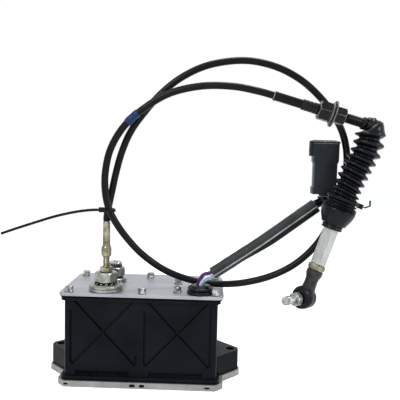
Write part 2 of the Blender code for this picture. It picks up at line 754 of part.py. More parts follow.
def build_base():
    outline = footprint(BASE_HALF_X, BASE_HALF_Y, BASE_CHAMFER, EAR_REACH, EAR_END_HALF)
    plate = make("base_plate", prism(outline, 0.0, BASE_THICK), "cast_alloy", at(0, 0, 0))
    for side in (-1, 1):
        cut(plate, rod(EAR_HOLE_RADIUS, -CUT_MARGIN, BASE_THICK + CUT_MARGIN, 20), at(side * EAR_HOLE_X, 0, 0))
    for x, width, height in BASE_MARKS:
        outline = rounded_rectangle(width / 2, height / 2, 0.6, 1)
        face = Matrix(((1, 0, 0, x), (0, 0, -1, -BASE_HALF_Y), (0, 1, 0, BASE_THICK / 2), (0, 0, 0, 1)))
        cut(plate, prism(outline, -BASE_MARK_DEPTH, CUT_MARGIN), face)
    for x, y in board_posts():
        add(plate, rod(BOARD_POST_RADIUS, BASE_THICK / 2, BASE_THICK + BOARD_POST_HEIGHT, 12), at(x, y, 0))

    reach = EAR_REACH - EAR_BLOCK_INSET
    outline = footprint(HOUSING_HALF_X + FLANGE_LIP, HOUSING_HALF_Y + FLANGE_LIP, HOUSING_CORNER,
                        reach, EAR_END_HALF - EAR_BLOCK_INSET / 2)
    gasket = make("base_gasket", prism(outline, 0.0, GASKET_THICK), "gasket", at(0, 0, GASKET_LOW))
    cut(gasket, prism(cavity_outline(), -CUT_MARGIN, GASKET_THICK + CUT_MARGIN), at(0, 0, GASKET_LOW))
    for side in (-1, 1):
        hole = rod(EAR_HOLE_RADIUS, -CUT_MARGIN, GASKET_THICK + CUT_MARGIN, 20)
        cut(gasket, hole, at(side * EAR_HOLE_X, 0, GASKET_LOW))


def housing_shell():
    """The outer skin: a rounded box with a flange at its foot and one at its top."""
    lip_x = HOUSING_HALF_X + FLANGE_LIP
    lip_y = HOUSING_HALF_Y + FLANGE_LIP
    ease = 0.5
    levels = [
        (0.0, lip_x, lip_y, HOUSING_CORNER + FLANGE_LIP / 2),
        (FLANGE_THICK, lip_x, lip_y, HOUSING_CORNER + FLANGE_LIP / 2),
        (FLANGE_THICK + ease, HOUSING_HALF_X, HOUSING_HALF_Y, HOUSING_CORNER),
        (HOUSING_HEIGHT - FLANGE_THICK - ease, HOUSING_HALF_X, HOUSING_HALF_Y, HOUSING_CORNER),
        (HOUSING_HEIGHT - FLANGE_THICK, lip_x, lip_y, HOUSING_CORNER + FLANGE_LIP / 2),
        (HOUSING_HEIGHT, lip_x, lip_y, HOUSING_CORNER + FLANGE_LIP / 2),
    ]
    rings = []
    for height, half_x, half_y, corner in levels:
        outline = rounded_rectangle(half_x, half_y, corner)
        rings.append([Vector((x, y, height)) for x, y in outline])
    return loft(rings)


def stroke(route, width):
    """The outline of a line of some width through the points of a route, with square ends."""
    points = [Vector(point) for point in route]
    left = []
    right = []
    for index, here in enumerate(points):
        before = (here - points[max(index - 1, 0)]).normalized()
        after = (points[min(index + 1, len(points) - 1)] - here).normalized()
        beside = Vector((-before.y - after.y, before.x + after.x)).normalized()
        facing = before if index else after
        reach = width / 2 / beside.dot(Vector((-facing.y, facing.x)))
        if index == 0:
            here = here - after * width / 2
        if index == len(points) - 1:
            here = here + before * width / 2
        left.append(tuple(here + beside * reach))
        right.append(tuple(here - beside * reach))
    return right + left[::-1]


def panel_lines(left, right, left_share, right_share):
    """A panel's two lines: each is a diagonal that turns at its foot and runs up one side."""
    rise = PANEL_HIGH - PANEL_LOW
    turn = PANEL_TURN
    first = [(left, PANEL_LOW + rise * left_share), (left, PANEL_LOW + turn), (left + turn, PANEL_LOW)]
    first.append((right - PANEL_INSET, PANEL_HIGH))
    second = [(left + PANEL_INSET, PANEL_HIGH), (right - turn, PANEL_LOW), (right, PANEL_LOW + turn)]
    second.append((right, PANEL_LOW + rise * right_share))
    return first, second


def foot_groove(left, right):
    """A cutter for the groove along a panel's foot, whose upper side is a long slope."""
    low = PANEL_FOOT - GROOVE_WIDTH / 2
    floor_high = PANEL_FOOT + GROOVE_WIDTH / 2
    reach = GROOVE_DEPTH + CUT_MARGIN
    mouth_high = floor_high + PANEL_SLOPE * reach / GROOVE_DEPTH
    rings = []
    for high, out in ((floor_high, 0.0), (mouth_high, reach)):
        rings.append([Vector((x, y, out)) for x, y in ((left, low), (right, low), (right, high), (left, high))])
    return loft(rings)


def ear_block_outline(side):
    """The moulded block over a mounting ear, running into the housing's wall."""
    reach = EAR_REACH - EAR_BLOCK_INSET
    end_half = EAR_END_HALF - EAR_BLOCK_INSET / 2
    root = HOUSING_HALF_X - HOUSING_WALL_X / 2
    rise = end_half + reach - root
    outline = [(root, -rise), (reach, -end_half), (reach, end_half), (root, rise)]
    return outline if side > 0 else [(-x, -y) for x, y in outline]


def build_housing():
    housing = make("gear_housing", housing_shell(), "black_moulding", at(0, 0, HOUSING_LOW))
    foot = 0.1            # the ear blocks stand this much proud of the flange's underside
    for side in (-1, 1):
        block = prism(ear_block_outline(side), HOUSING_LOW - foot, EAR_BLOCK_TOP)
        add(housing, block, at(0, 0, 0))
    hollow = prism(cavity_outline(), HOUSING_LOW - CUT_MARGIN, HOUSING_TOP + CUT_MARGIN)
    cut(housing, hollow, at(0, 0, 0))
    floor_y = HOUSING_HALF_Y - GROOVE_DEPTH
    panels = [(-PANEL_OUTER_X, -PANEL_INNER_X), (PANEL_INNER_X, PANEL_OUTER_X)]
    front = Matrix(((1, 0, 0, 0), (0, 0, -1, -floor_y), (0, 1, 0, 0), (0, 0, 0, 1)))
    back = Matrix(((-1, 0, 0, 0), (0, 0, 1, floor_y), (0, 1, 0, 0), (0, 0, 0, 1)))
    for face in (front, back):
        for (left, right), shares in zip(panels, PANEL_SIDES):
            for line in panel_lines(left, right, *shares):
                cut(housing, prism(stroke(line, GROOVE_WIDTH), 0.0, GROOVE_DEPTH + CUT_MARGIN), face)
            cut(housing, foot_groove(left + PANEL_INSET, right - 1.7 * PANEL_INSET), face)
    for side in (-1, 1):
        hole = rod(EAR_HOLE_RADIUS, HOUSING_LOW - CUT_MARGIN, EAR_BLOCK_TOP + CUT_MARGIN, 20)
        cut(housing, hole, at(side * EAR_HOLE_X, 0, 0))
    depth = SCREW_LENGTH - TOP_THICK - GASKET_THICK
    for name, (x, y) in SCREW_PLACES.items():
        if not name.endswith("inner"):
            cut(housing, rod(SCREW_RADIUS + SEAT_GAP, -depth, CUT_MARGIN, 12), at(x, y, HOUSING_TOP))


def top_holes():
    """The holes through the top plate and its gasket: their places and radii."""
    return [(GLAND_X, GLAND_Y, GLAND_BORE), (PLUG_X, PLUG_Y, PLUG_NECK_RADIUS + SEAT_GAP),
            (GROMMET_X, GROMMET_Y, GROMMET_NECK + SEAT_GAP)]


def build_top():
    outline = rounded_rectangle(HOUSING_HALF_X + FLANGE_LIP + 1.4, HOUSING_HALF_Y + FLANGE_LIP - 0.6, 6.0)
    gasket = make("top_gasket", prism(outline, 0.0, GASKET_THICK), "gasket", at(0, 0, TOP_GASKET_LOW))
    cut(gasket, prism(cavity_outline(), -CUT_MARGIN, GASKET_THICK + CUT_MARGIN), at(0, 0, TOP_GASKET_LOW))

    edge = 0.8
    levels = [(0.0, 0.0), (TOP_THICK - edge, 0.0), (TOP_THICK, edge)]
    rings = []
    for height, inset in levels:
        outline = rounded_rectangle(TOP_HALF_X - inset, TOP_HALF_Y - inset, TOP_CORNER - inset, 5)
        rings.append([Vector((x, y, height)) for x, y in outline])
    plate = make("top_plate", loft(rings), "plated_plate", at(0, 0, TOP_LOW))
    for x, y, radius in top_holes():
        cut(plate, rod(radius, -CUT_MARGIN, TOP_THICK + CUT_MARGIN, 20), at(x, y, TOP_LOW))
    for name, (x, y) in SCREW_PLACES.items():
        hole = SCREW_RADIUS + SEAT_GAP
        cut(plate, rod(hole, -CUT_MARGIN, TOP_THICK + CUT_MARGIN, 12), at(x, y, TOP_LOW))
        if not name.endswith("inner"):
            cut(gasket, rod(hole, -CUT_MARGIN, GASKET_THICK + CUT_MARGIN, 12), at(x, y, TOP_GASKET_LOW))
        tip = SEAT_GAP - SCREW_LENGTH + 1.0
        flange = SEAT_GAP + SCREW_FLANGE_THICK
        screw = [(0.0, tip), (SCREW_RADIUS, tip), (SCREW_RADIUS, SEAT_GAP), (SCREW_FLANGE_RADIUS, SEAT_GAP)]
        screw += [(SCREW_FLANGE_RADIUS, flange - 0.4), (SCREW_FLATS / 2, flange), (0.0, flange)]
        screw = make("top_screw_" + name, turned(screw, 18), "zinc", at(x, y, TOP_FACE))
        add(screw, prism(hexagon(SCREW_FLATS), flange / 2, SCREW_HEAD_HEIGHT), at(x, y, TOP_FACE))


# Gland, plug and grommet on the top plate

def toothed_ring(inner, outer, teeth, notch, low, high):
    """A washer whose rim is cut into teeth."""
    outline = []
    for tooth in range(teeth):
        start = 360 * tooth / teeth
        step = 360 / teeth
        for share, reach in ((0.0, outer), (0.5, outer), (0.5, outer - notch), (1.0, outer - notch)):
            angle = math.radians(start + step * share)
            outline.append((reach * math.cos(angle), reach * math.sin(angle)))
    return prism(outline, low, high)


def build_gland():
    place = at(GLAND_X, GLAND_Y, 0)
    low = TOP_FACE + SEAT_GAP
    high = low + GLAND_FLANGE_HEIGHT
    step = 1.2
    outline = [(GLAND_BORE, low), (GLAND_FLANGE_RADIUS, low), (GLAND_FLANGE_RADIUS, high - step)]
    outline += [(GLAND_FLANGE_RADIUS - step, high), (GLAND_BORE, high)]
    make("gland_flange", turned(outline, 32, ring=True), "zinc", place)

    low = high + SEAT_GAP
    high = low + GLAND_WASHER_THICK
    washer = make("gland_toothed_washer", toothed_ring(GLAND_BORE, GLAND_WASHER_RADIUS, 16, 1.6, low, high),
                  "dark_steel", place)
    cut(washer, rod(GLAND_BORE, low - CUT_MARGIN, high + CUT_MARGIN, 16), place)

    low = high + SEAT_GAP
    make("gland_nut", nut(GLAND_NUT_FLATS, GLAND_BORE, GLAND_NUT_HEIGHT), "zinc", at(GLAND_X, GLAND_Y, low))
    low += GLAND_NUT_HEIGHT + SEAT_GAP
    jam = nut(JAM_NUT_FLATS, GLAND_BORE, JAM_NUT_HEIGHT)
    make("gland_jam_nut", jam, "yellow_zinc", at(GLAND_X, GLAND_Y, low))

    ease = 1.0
    outline = [(0.0, TOP_LOW - STEM_DEPTH), (STEM_RADIUS, TOP_LOW - STEM_DEPTH), (STEM_RADIUS, BULGE_LOW)]
    outline += [(BULGE_RADIUS, BULGE_LOW + ease), (BULGE_RADIUS, BULGE_HIGH - ease)]
    outline += [(FERRULE_RADIUS, BULGE_HIGH + ease), (FERRULE_RADIUS, FERRULE_TOP - ease)]
    outline += [(FERRULE_RADIUS - 0.4, FERRULE_TOP), (0.0, FERRULE_TOP)]
    make("gland_stem", turned(outline, 16), "yellow_zinc", place)


def build_plug():
    low = TOP_FACE + SEAT_GAP
    neck_low = TOP_LOW - 2.0
    flange_high = low + PLUG_FLANGE_HEIGHT
    hex_high = flange_high + PLUG_HEX_HEIGHT
    outline = [(0.0, neck_low), (PLUG_NECK_RADIUS, neck_low), (PLUG_NECK_RADIUS, low)]
    outline += [(PLUG_FLANGE_RADIUS, low), (PLUG_FLANGE_RADIUS, flange_high - 0.8)]
    outline += [(PLUG_FLANGE_RADIUS - 0.8, flange_high), (0.0, flange_high)]
    place = at(PLUG_X, PLUG_Y, 0)
    body = make("plug_body", turned(outline, 24), "zinc", place)
    add(body, prism(hexagon(PLUG_FLATS), flange_high - 1.0, hex_high), place)

    low = hex_high + SEAT_GAP
    high = low + PLUG_CAP_HEIGHT
    outline = []
    for ridge in range(PLUG_CAP_RIDGES * 2):
        angle = math.pi * ridge / PLUG_CAP_RIDGES
        reach = PLUG_CAP_RADIUS if ridge % 2 else PLUG_CAP_RADIUS - 0.6
        outline.append((reach * math.cos(angle), reach * math.sin(angle)))
    make("plug_cap", prism(outline, low, high), "dark_steel", place)


def build_grommet():
    low = TOP_FACE + SEAT_GAP
    high = low + GROMMET_HEIGHT
    outline = [
        (GROMMET_BORE, TOP_LOW + SEAT_GAP), (GROMMET_NECK, TOP_LOW + SEAT_GAP), (GROMMET_NECK, low),
        (GROMMET_RADIUS, low), (GROMMET_RADIUS, low + 2.4),
        (GROMMET_RADIUS - 1.6, low + 3.4), (GROMMET_RADIUS - 2.0, low + 5.2), (GROMMET_RADIUS - 1.4, low + 6.4),
        (GROMMET_RADIUS - 2.6, high - 0.6), (GROMMET_RADIUS - 4.4, high), (GROMMET_BORE, high - 0.8),
    ]
    make("grommet", turned(outline, 22, ring=True), "rubber", at(GROMMET_X, GROMMET_Y, 0))


def build_wires():
    """Four wires from the grommet's bore, fanned a little, to the end of the sleeve."""
    end = Vector(SLEEVE_ROUTE[0])
    ahead = (Vector(SLEEVE_ROUTE[1]) - end).normalized()
    stop = end - ahead * SEAT_GAP
    across = ahead.cross(Vector((0, 1, 0))).normalized()
    beside = ahead.cross(across)
    for name, degrees in WIRES.items():
        angle = math.radians(degrees)
        x = GROMMET_X + WIRE_RING * math.cos(angle)
        y = GROMMET_Y + WIRE_RING * math.sin(angle)
        offset = across * (-2.6 * math.cos(angle)) + beside * (-2.6 * math.sin(angle))
        leave = Vector((x, y, TOP_FACE + GROMMET_HEIGHT + 1.6))
        middle = leave.lerp(stop + offset, 0.5) + Vector((-0.9, 0.0, 1.2)) + offset * 0.25
        route = [Vector((x, y, TOP_FACE - 1.0)), Vector((x, y, TOP_FACE + 5.0)), leave, middle,
                 stop + offset - ahead * 3.0, stop + offset]
        cord(name, route, WIRE_RADIUS, 2.6, name)


# Wiring lead and connector

def build_lead():
    cord("wiring_sleeve", SLEEVE_ROUTE, SLEEVE_RADIUS, 13.0, "sleeve", resolution=3)
    cord("wiring_tail", TAIL_ROUTE, TAIL_RADIUS, 3.0, "rubber")

    middle_x = (CONNECTOR_LEFT + CONNECTOR_RIGHT) / 2
    half_x = (CONNECTOR_RIGHT - CONNECTOR_LEFT) / 2
    half_y = CONNECTOR_DEPTH / 2
    slim = CONNECTOR_NARROWING / 2
    step_low = CONNECTOR_LOW + 7.0
    waist = CONNECTOR_TOP - 23.0
    levels = [
        (CONNECTOR_LOW, half_x, half_y), (step_low, half_x, half_y),
        (step_low + 0.6, half_x - slim, half_y - slim), (waist, half_x - slim, half_y - slim),
        (waist + 3.0, half_x, half_y), (CONNECTOR_TOP, half_x, half_y),
    ]
    rings = []
    for height, reach_x, reach_y in levels:
        rings.append([Vector((x, y, height)) for x, y in rounded_rectangle(reach_x, reach_y, 2.4, 2)])
    place = at(middle_x, CONNECTOR_Y, 0)
    shell = make("connector_housing", loft(rings), "black_moulding", place)
    tab = rounded_rectangle(LATCH_WIDTH / 2, LATCH_WIDTH / 2, 1.0, 1)
    tab = prism(tab, CONNECTOR_TOP - 15.0, CONNECTOR_TOP + 0.8)
    add(shell, tab, at(CONNECTOR_LEFT + LATCH_WIDTH / 2 - 3.4, CONNECTOR_Y, 0))
    inner_x = half_x - CONNECTOR_WALL
    inner_y = half_y - CONNECTOR_WALL
    floor = CONNECTOR_TOP - SOCKET_DEPTH
    socket = prism(rounded_rectangle(inner_x, inner_y, 1.4, 2), floor, CONNECTOR_TOP + 2 * CUT_MARGIN)
    cut(shell, socket, place)
    rear = rounded_rectangle(inner_x - slim, inner_y - slim, 1.4, 2)
    rear = prism(rear, CONNECTOR_LOW - CUT_MARGIN, CONNECTOR_LOW + 9.0)
    cut(shell, rear, place)

    contacts = [(row * 5.0, column * 5.6) for row in (-0.5, 0.5) for column in range(-1, 2)]
    carrier_half_x = inner_x - SEAT_GAP
    carrier_half_y = inner_y - SEAT_GAP
    carrier = prism(rounded_rectangle(carrier_half_x, carrier_half_y, 1.2, 2), floor + SEAT_GAP, floor + 4.0)
    carrier = make("contact_carrier", carrier, "sleeve", place)
    for y, x in contacts:
        pin = [(-CONTACT_HALF, -CONTACT_HALF), (CONTACT_HALF, -CONTACT_HALF)]
        pin += [(CONTACT_HALF, CONTACT_HALF), (-CONTACT_HALF, CONTACT_HALF)]
        add(carrier, prism(pin, floor + 3.0, floor + 4.0 + CONTACT_LENGTH), at(middle_x + x, CONNECTOR_Y + y, 0))

    seal_half_x = inner_x - slim - SEAT_GAP
    seal_half_y = inner_y - slim - SEAT_GAP
    seal = rounded_rectangle(seal_half_x, seal_half_y, 1.2, 2)
    seal = prism(seal, CONNECTOR_LOW, CONNECTOR_LOW + 9.0 - SEAT_GAP)
    seal = make("connector_seal", seal, "rubber", place)
    boot_low = TAIL_ROUTE[-1][2] + 4 * SEAT_GAP
    add(seal, rod(5.0, boot_low, CONNECTOR_LOW + 2.0, 16), at(TAIL_ROUTE[-1][0], CONNECTOR_Y, 0))


# Control cable and its bulkhead fitting

def conduit_route():
    """The cable's route, ending square against the crimped end of the bulkhead tube."""
    axis = (FITTING_END - FITTING_START).normalized()
    ends = [FITTING_START, FITTING_START + axis * (LABEL_LENGTH / 2)]
    ends.append(FITTING_START + axis * (CRIMP_START - SEAT_GAP))
    return [Vector(point) for point in CONDUIT_ROUTE] + ends


def build_cable():
    route = conduit_route()
    cord("control_cable", route, CONDUIT_RADIUS, CABLE_STEP, "conduit")
    path = smooth_path(route, CABLE_STEP)
    later = range(len(path) // 2, len(path) - 1)
    first = min(later, key=lambda index: ((path[index] + path[index + 1]) / 2 - TAPE_MIDDLE).length)
    run = path[first + 1] - path[first]
    band = tube(CONDUIT_RADIUS + SEAT_GAP, CONDUIT_RADIUS + 0.8, 0.5, run.length - 0.5, 16)
    make("blue_tape", band, "blue_tape", along(path[first], run))

    axis = FITTING_END - FITTING_START
    place = along(FITTING_START, axis)
    make("label_sleeve", tube(CONDUIT_RADIUS + SEAT_GAP, LABEL_RADIUS, 0.0, LABEL_LENGTH, 16), "conduit", place)

    thread_start = FLANGE_NUT_START - SEAT_GAP
    outline = [(0.0, CRIMP_START), (CRIMP_RADIUS - 0.6, CRIMP_START), (CRIMP_RADIUS, CRIMP_START + 0.8)]
    outline += [(CRIMP_RADIUS, thread_start - 0.6), (TUBE_RADIUS, thread_start), (TUBE_RADIUS, COLLAR_START)]
    outline += [(COLLAR_RADIUS, COLLAR_START + 0.5), (COLLAR_RADIUS, COLLAR_START + COLLAR_LENGTH)]
    outline += [(TUBE_RADIUS, COLLAR_START + COLLAR_LENGTH + 0.5), (TUBE_RADIUS, TUBE_END), (0.0, TUBE_END)]
    make("bulkhead_tube", turned(outline, 16), "black_steel", place)

    bore = TUBE_RADIUS + SEAT_GAP
    start = FLANGE_NUT_START
    direction = axis.normalized()
    make("flange_nut", nut(FLANGE_NUT_FLATS, bore, FLANGE_NUT_LENGTH), "black_steel",
         along(FITTING_START + direction * start, axis))
    start += FLANGE_NUT_LENGTH + SEAT_GAP
    washer = tube(bore, BULKHEAD_WASHER_RADIUS, 0.0, BULKHEAD_WASHER_THICK, 24)
    make("bulkhead_washer", washer, "zinc", along(FITTING_START + direction * start, axis))
    start += BULKHEAD_WASHER_THICK + SEAT_GAP
    make("bulkhead_lock_nut", nut(LOCK_NUT_FLATS, bore, LOCK_NUT_LENGTH), "black_steel",
         along(FITTING_START + direction * start, axis))


# Bellows, rod and rod end

def bellows_ring(x, z, lean, radius, sides=20):
    """A ring of the bellows that leans by some degrees from level."""
    angle = math.radians(lean)
    normal = Vector((-math.sin(angle), 0.0, -math.cos(angle)))
    return ring_at((x, CABLE_END_Y, z), normal, Vector((0, 1, 0)), radius, sides)


def build_bellows():
    axis = (FITTING_END - FITTING_START).normalized()
    mouth = COLLAR_START + COLLAR_LENGTH + 0.5 + SEAT_GAP
    neck_radius = TUBE_RADIUS + 2.2
    neck = []
    for reach, turn_by, radius in ((0.0, 0.0, neck_radius), (3.0, 4.0, neck_radius), (3.6, 18.0, 10.0)):
        centre = FITTING_START + axis * (mouth + reach)
        slope = math.radians(90.0 - 15.9 - turn_by)
        normal = Vector((math.sin(slope), 0.0, -math.cos(slope)))
        neck.append(ring_at(centre, normal, Vector((0, 1, 0)), radius, 20))
    shoulder = [bellows_ring(*ring) for ring in BELLOWS_SHOULDER]
    outer = neck + shoulder
    folds = BELLOWS_FOLDS + [CUP_RINGS[0]]
    for (x, z, lean, radius), (next_x, next_z, next_lean, next_radius) in zip(folds, folds[1:]):
        outer.append(bellows_ring(x, z, lean, radius))
        pitch = math.hypot(next_x - x, next_z - z)
        dip = min(BELLOWS_DIP, pitch * BELLOWS_DIP_SHARE)
        valley = (radius + next_radius) / 2 - dip
        outer.append(bellows_ring((x + next_x) / 2, (z + next_z) / 2, (lean + next_lean) / 2, valley))
    for x, z, lean, radius in CUP_RINGS:
        outer.append(bellows_ring(x, z, lean, radius))
    last = CUP_RINGS[-1]
    clear_of_rod = ROD_FLATS / math.sqrt(3) + SEAT_GAP
    inner = [bellows_ring(last[0], last[1], last[2], clear_of_rod)]
    inner.append(bellows_ring(*CUP_RINGS[2][:3], BELLOWS_BORE))
    for x, z, lean, radius in reversed(BELLOWS_FOLDS[::2]):
        inner.append(bellows_ring(x, z, lean, BELLOWS_BORE))
    inner.append(bellows_ring(*BELLOWS_THROAT, BELLOWS_BORE))
    for reach in (3.4, 0.0):
        centre = FITTING_START + axis * (mouth + reach)
        inner.append(ring_at(centre, axis, Vector((0, 1, 0)), TUBE_RADIUS + SEAT_GAP, 20))
    make("bellows", loft(outer + inner, hollow=True), "rubber", at(0, 0, 0), sharp=60.0)

    core = [FITTING_START + axis * (TUBE_END + SEAT_GAP), FITTING_START + axis * (TUBE_END + 3.4)]
    core += [Vector((x, CABLE_END_Y, z)) for x, z in CORE_BEND]
    core += [Vector((x, CABLE_END_Y, z)) for x, z, lean, radius in BELLOWS_FOLDS[2::2]]
    core += [ROD_TOP - ROD_DIRECTION * 6.0, ROD_TOP - ROD_DIRECTION * SEAT_GAP]
    cord("core_wire", core, 1.5, 4.5, "bright_steel")


def rod_place(reach):
    """A place on the rod's axis, some way from the rod's top."""
    return along(ROD_TOP + ROD_DIRECTION * reach, ROD_DIRECTION)


def build_rod():
    bar = prism(hexagon(ROD_FLATS), 0.0, ROD_LENGTH)
    bar = make("hex_rod", bar, "bright_steel", rod_place(0.0))
    add(bar, rod(ROD_STUD_RADIUS, ROD_LENGTH - 1.0, ROD_LENGTH + 16.0, 14), rod_place(0.0))
    cuff = tube(ROD_FLATS / math.sqrt(3) + SEAT_GAP, CUFF_RADIUS, 0.0, CUFF_LENGTH, 20)
    cuff = make("bellows_cuff", cuff, "rubber", rod_place(CUFF_START))
    bore = ROD_STUD_RADIUS + SEAT_GAP
    start = ROD_LENGTH + SEAT_GAP
    lock = make("rod_lock_nut", nut(ROD_NUT_FLATS, bore, ROD_NUT_LENGTH), "yellow_zinc", rod_place(start))
    start += ROD_NUT_LENGTH + SEAT_GAP

    ball_centre = ROD_TOP + ROD_DIRECTION * BALL_CENTRE_ALONG
    eye = eye_axis()
    head_place = along(ball_centre, eye, ROD_DIRECTION)
    mouth = BALL_RADIUS * 0.82
    socket = BALL_RADIUS + BALL_GAP
    bowl = []
    for step in range(8):
        angle = math.radians(-90 + (90 + 50) * step / 7)
        bowl.append((socket * math.cos(angle), socket * math.sin(angle)))
    outline = [(0.0, -HEAD_HALF - 2.4), (HEAD_RADIUS - 2.2, -HEAD_HALF - 2.4), (HEAD_RADIUS, -HEAD_HALF)]
    outline += [(HEAD_RADIUS, HEAD_HALF - 1.0), (HEAD_RADIUS - 1.0, HEAD_HALF), (mouth, HEAD_HALF)]
    outline += bowl[::-1]
    head = make("rod_end", turned(outline, 24), "dark_steel", head_place)
    shank_stop = BALL_CENTRE_ALONG - start - socket - 1.6
    shank = [(0.0, 0.0), (ROD_END_COLLAR - 0.6, 0.0), (ROD_END_COLLAR, 0.6), (ROD_END_COLLAR, 6.0)]
    shank += [(SHANK_RADIUS, 9.0), (SHANK_RADIUS, shank_stop), (0.0, shank_stop)]
    add(head, turned(shank, 16), rod_place(start))
    cut(head, rod(bore, -CUT_MARGIN, 12.0, 14), rod_place(start))

    axis = stud_axis(eye)
    stud_place = along(ball_centre, axis, ROD_DIRECTION)
    ball = []
    neck_angle = math.degrees(math.acos(STUD_NECK / BALL_RADIUS))
    for step in range(9):
        angle = math.radians(-90 + (90 + neck_angle) * step / 8)
        ball.append((BALL_RADIUS * math.cos(angle), BALL_RADIUS * math.sin(angle)))
    hex_end = STUD_HEX_START + STUD_HEX_LENGTH
    outline = ball + [(STUD_NECK, STUD_HEX_START - 1.4), (STUD_FLATS / 2, STUD_HEX_START - 0.6)]
    outline += [(STUD_FLATS / 2, STUD_HEX_START + 0.6), (STUD_THREAD_RADIUS, STUD_HEX_START + 1.0)]
    outline += [(STUD_THREAD_RADIUS, STUD_LENGTH - 1.0), (STUD_THREAD_RADIUS - 1.0, STUD_LENGTH)]
    outline.append((0.0, STUD_LENGTH))
    outline[0] = (0.0, -BALL_RADIUS)
    stud = make("ball_stud", turned(outline, 18), "bright_steel", stud_place)
    add(stud, prism(hexagon(STUD_FLATS), STUD_HEX_START, hex_end), stud_place)

    boot = build_boot(ball_centre, eye, axis)
    moving = [bar, cuff, lock, head]
    rod_empty = joint_empty("rod_axis", rod_place(0.0), moving)
    stud_empty = joint_empty("stud_pivot", head_place, [boot, stud])
    stud_empty.parent = rod_empty
    stud_empty.matrix_parent_inverse = rod_empty.matrix_world.inverted()


def eye_axis():
    """The axis of the rod end's eye, square to the rod and turned towards the viewer."""
    towards = Vector((-0.74, -0.63, 0.0))
    return (towards - ROD_DIRECTION * towards.dot(ROD_DIRECTION)).normalized()


def stud_axis(eye):
    """The stud leans in its socket, away from the rod."""
    return (eye * math.cos(STUD_TILT) + ROD_DIRECTION * math.sin(STUD_TILT)).normalized()


def build_boot(ball_centre, eye, axis):
    """The rubber boot: a bulged collar from the eye's face to the stud's shoulder."""
    shoulder = STUD_HEX_START - 1.4 - SEAT_GAP
    levels = [(0.0, 8.6), (0.16, 9.4), (0.42, 9.8), (0.62, 8.6), (0.76, 8.9), (0.9, 8.0), (1.0, 6.6)]
    inner_radii = (4.6, 6.9)
    rings = []
    low = HEAD_HALF + SEAT_GAP
    for share, radius in levels:
        direction = eye.lerp(axis, share).normalized()
        centre = (ball_centre + eye * low).lerp(ball_centre + axis * shoulder, share)
        rings.append(ring_at(centre, direction, ROD_DIRECTION, radius, 20))
    for share, radius in ((1.0, inner_radii[0]), (0.5, inner_radii[1]), (0.0, inner_radii[1])):
        direction = eye.lerp(axis, share).normalized()
        centre = (ball_centre + eye * low).lerp(ball_centre + axis * shoulder, share)
        rings.append(ring_at(centre, direction, ROD_DIRECTION, radius, 20))
    return make("ball_boot", loft(rings, hollow=True), "rubber", at(0, 0, 0))


# Cable ties

def build_tie(name, circles, place, head, tail, up):
    """A tie drawn round a bundle in its place's own plane, with its head and its loose tail."""
    inside = hull_of_circles(circles)
    grown = [(x, y, radius + TIE_THICK) for x, y, radius in circles]
    outside = hull_of_circles(grown)
    band = make(name, prism(outside, -TIE_WIDTH / 2, TIE_WIDTH / 2), "nylon", place)
    cut(band, prism(inside, -TIE_WIDTH, TIE_WIDTH), place)
    block = rounded_rectangle(2.6, 2.2, 0.6, 1)
    add(band, prism(block, -2.4, 2.4), place @ at(*head, 0.0))
    add(band, strap(smooth_path(tail, 5.0), TIE_WIDTH, TIE_THICK, up), at(0, 0, 0))


def build_ties():
    build_tie("upper_cable_tie", UPPER_TIE_CIRCLES, at(0, 0, UPPER_TIE_HEIGHT), UPPER_TIE_HEAD, UPPER_TIE_TAIL,
              Vector((0, 0, 1)))
    tilted = at(*LOWER_TIE_MIDDLE) @ Matrix.Rotation(LOWER_TIE_TILT, 4, "Y")
    build_tie("lower_cable_tie", LOWER_TIE_CIRCLES, tilted, LOWER_TIE_HEAD, LOWER_TIE_TAIL, Vector((0, 1, 0)))


# Drive inside the housing

def gear_outline(teeth, module):
    """A spur gear's outline, with tapered teeth that leave backlash."""
    pitch = module * teeth / 2
    tip = pitch + 0.85 * module
    root = pitch - 1.15 * module
    step = 2 * math.pi / teeth
    outline = []
    for tooth in range(teeth):
        middle = tooth * step
        for half_share, reach in ((-0.30, root), (-0.12, tip), (0.12, tip), (0.30, root)):
            angle = middle + half_share * step
            outline.append((reach * math.cos(angle), reach * math.sin(angle)))
    return outline


def drive_place(x, y, turn_by=0.0):
    """A place whose own Z runs towards the front, on one of the drive's shafts."""
    facing = Matrix.Rotation(math.radians(90), 4, "X")
    return at(x, y, AXIS_HEIGHT) @ facing @ Matrix.Rotation(turn_by, 4, "Z")


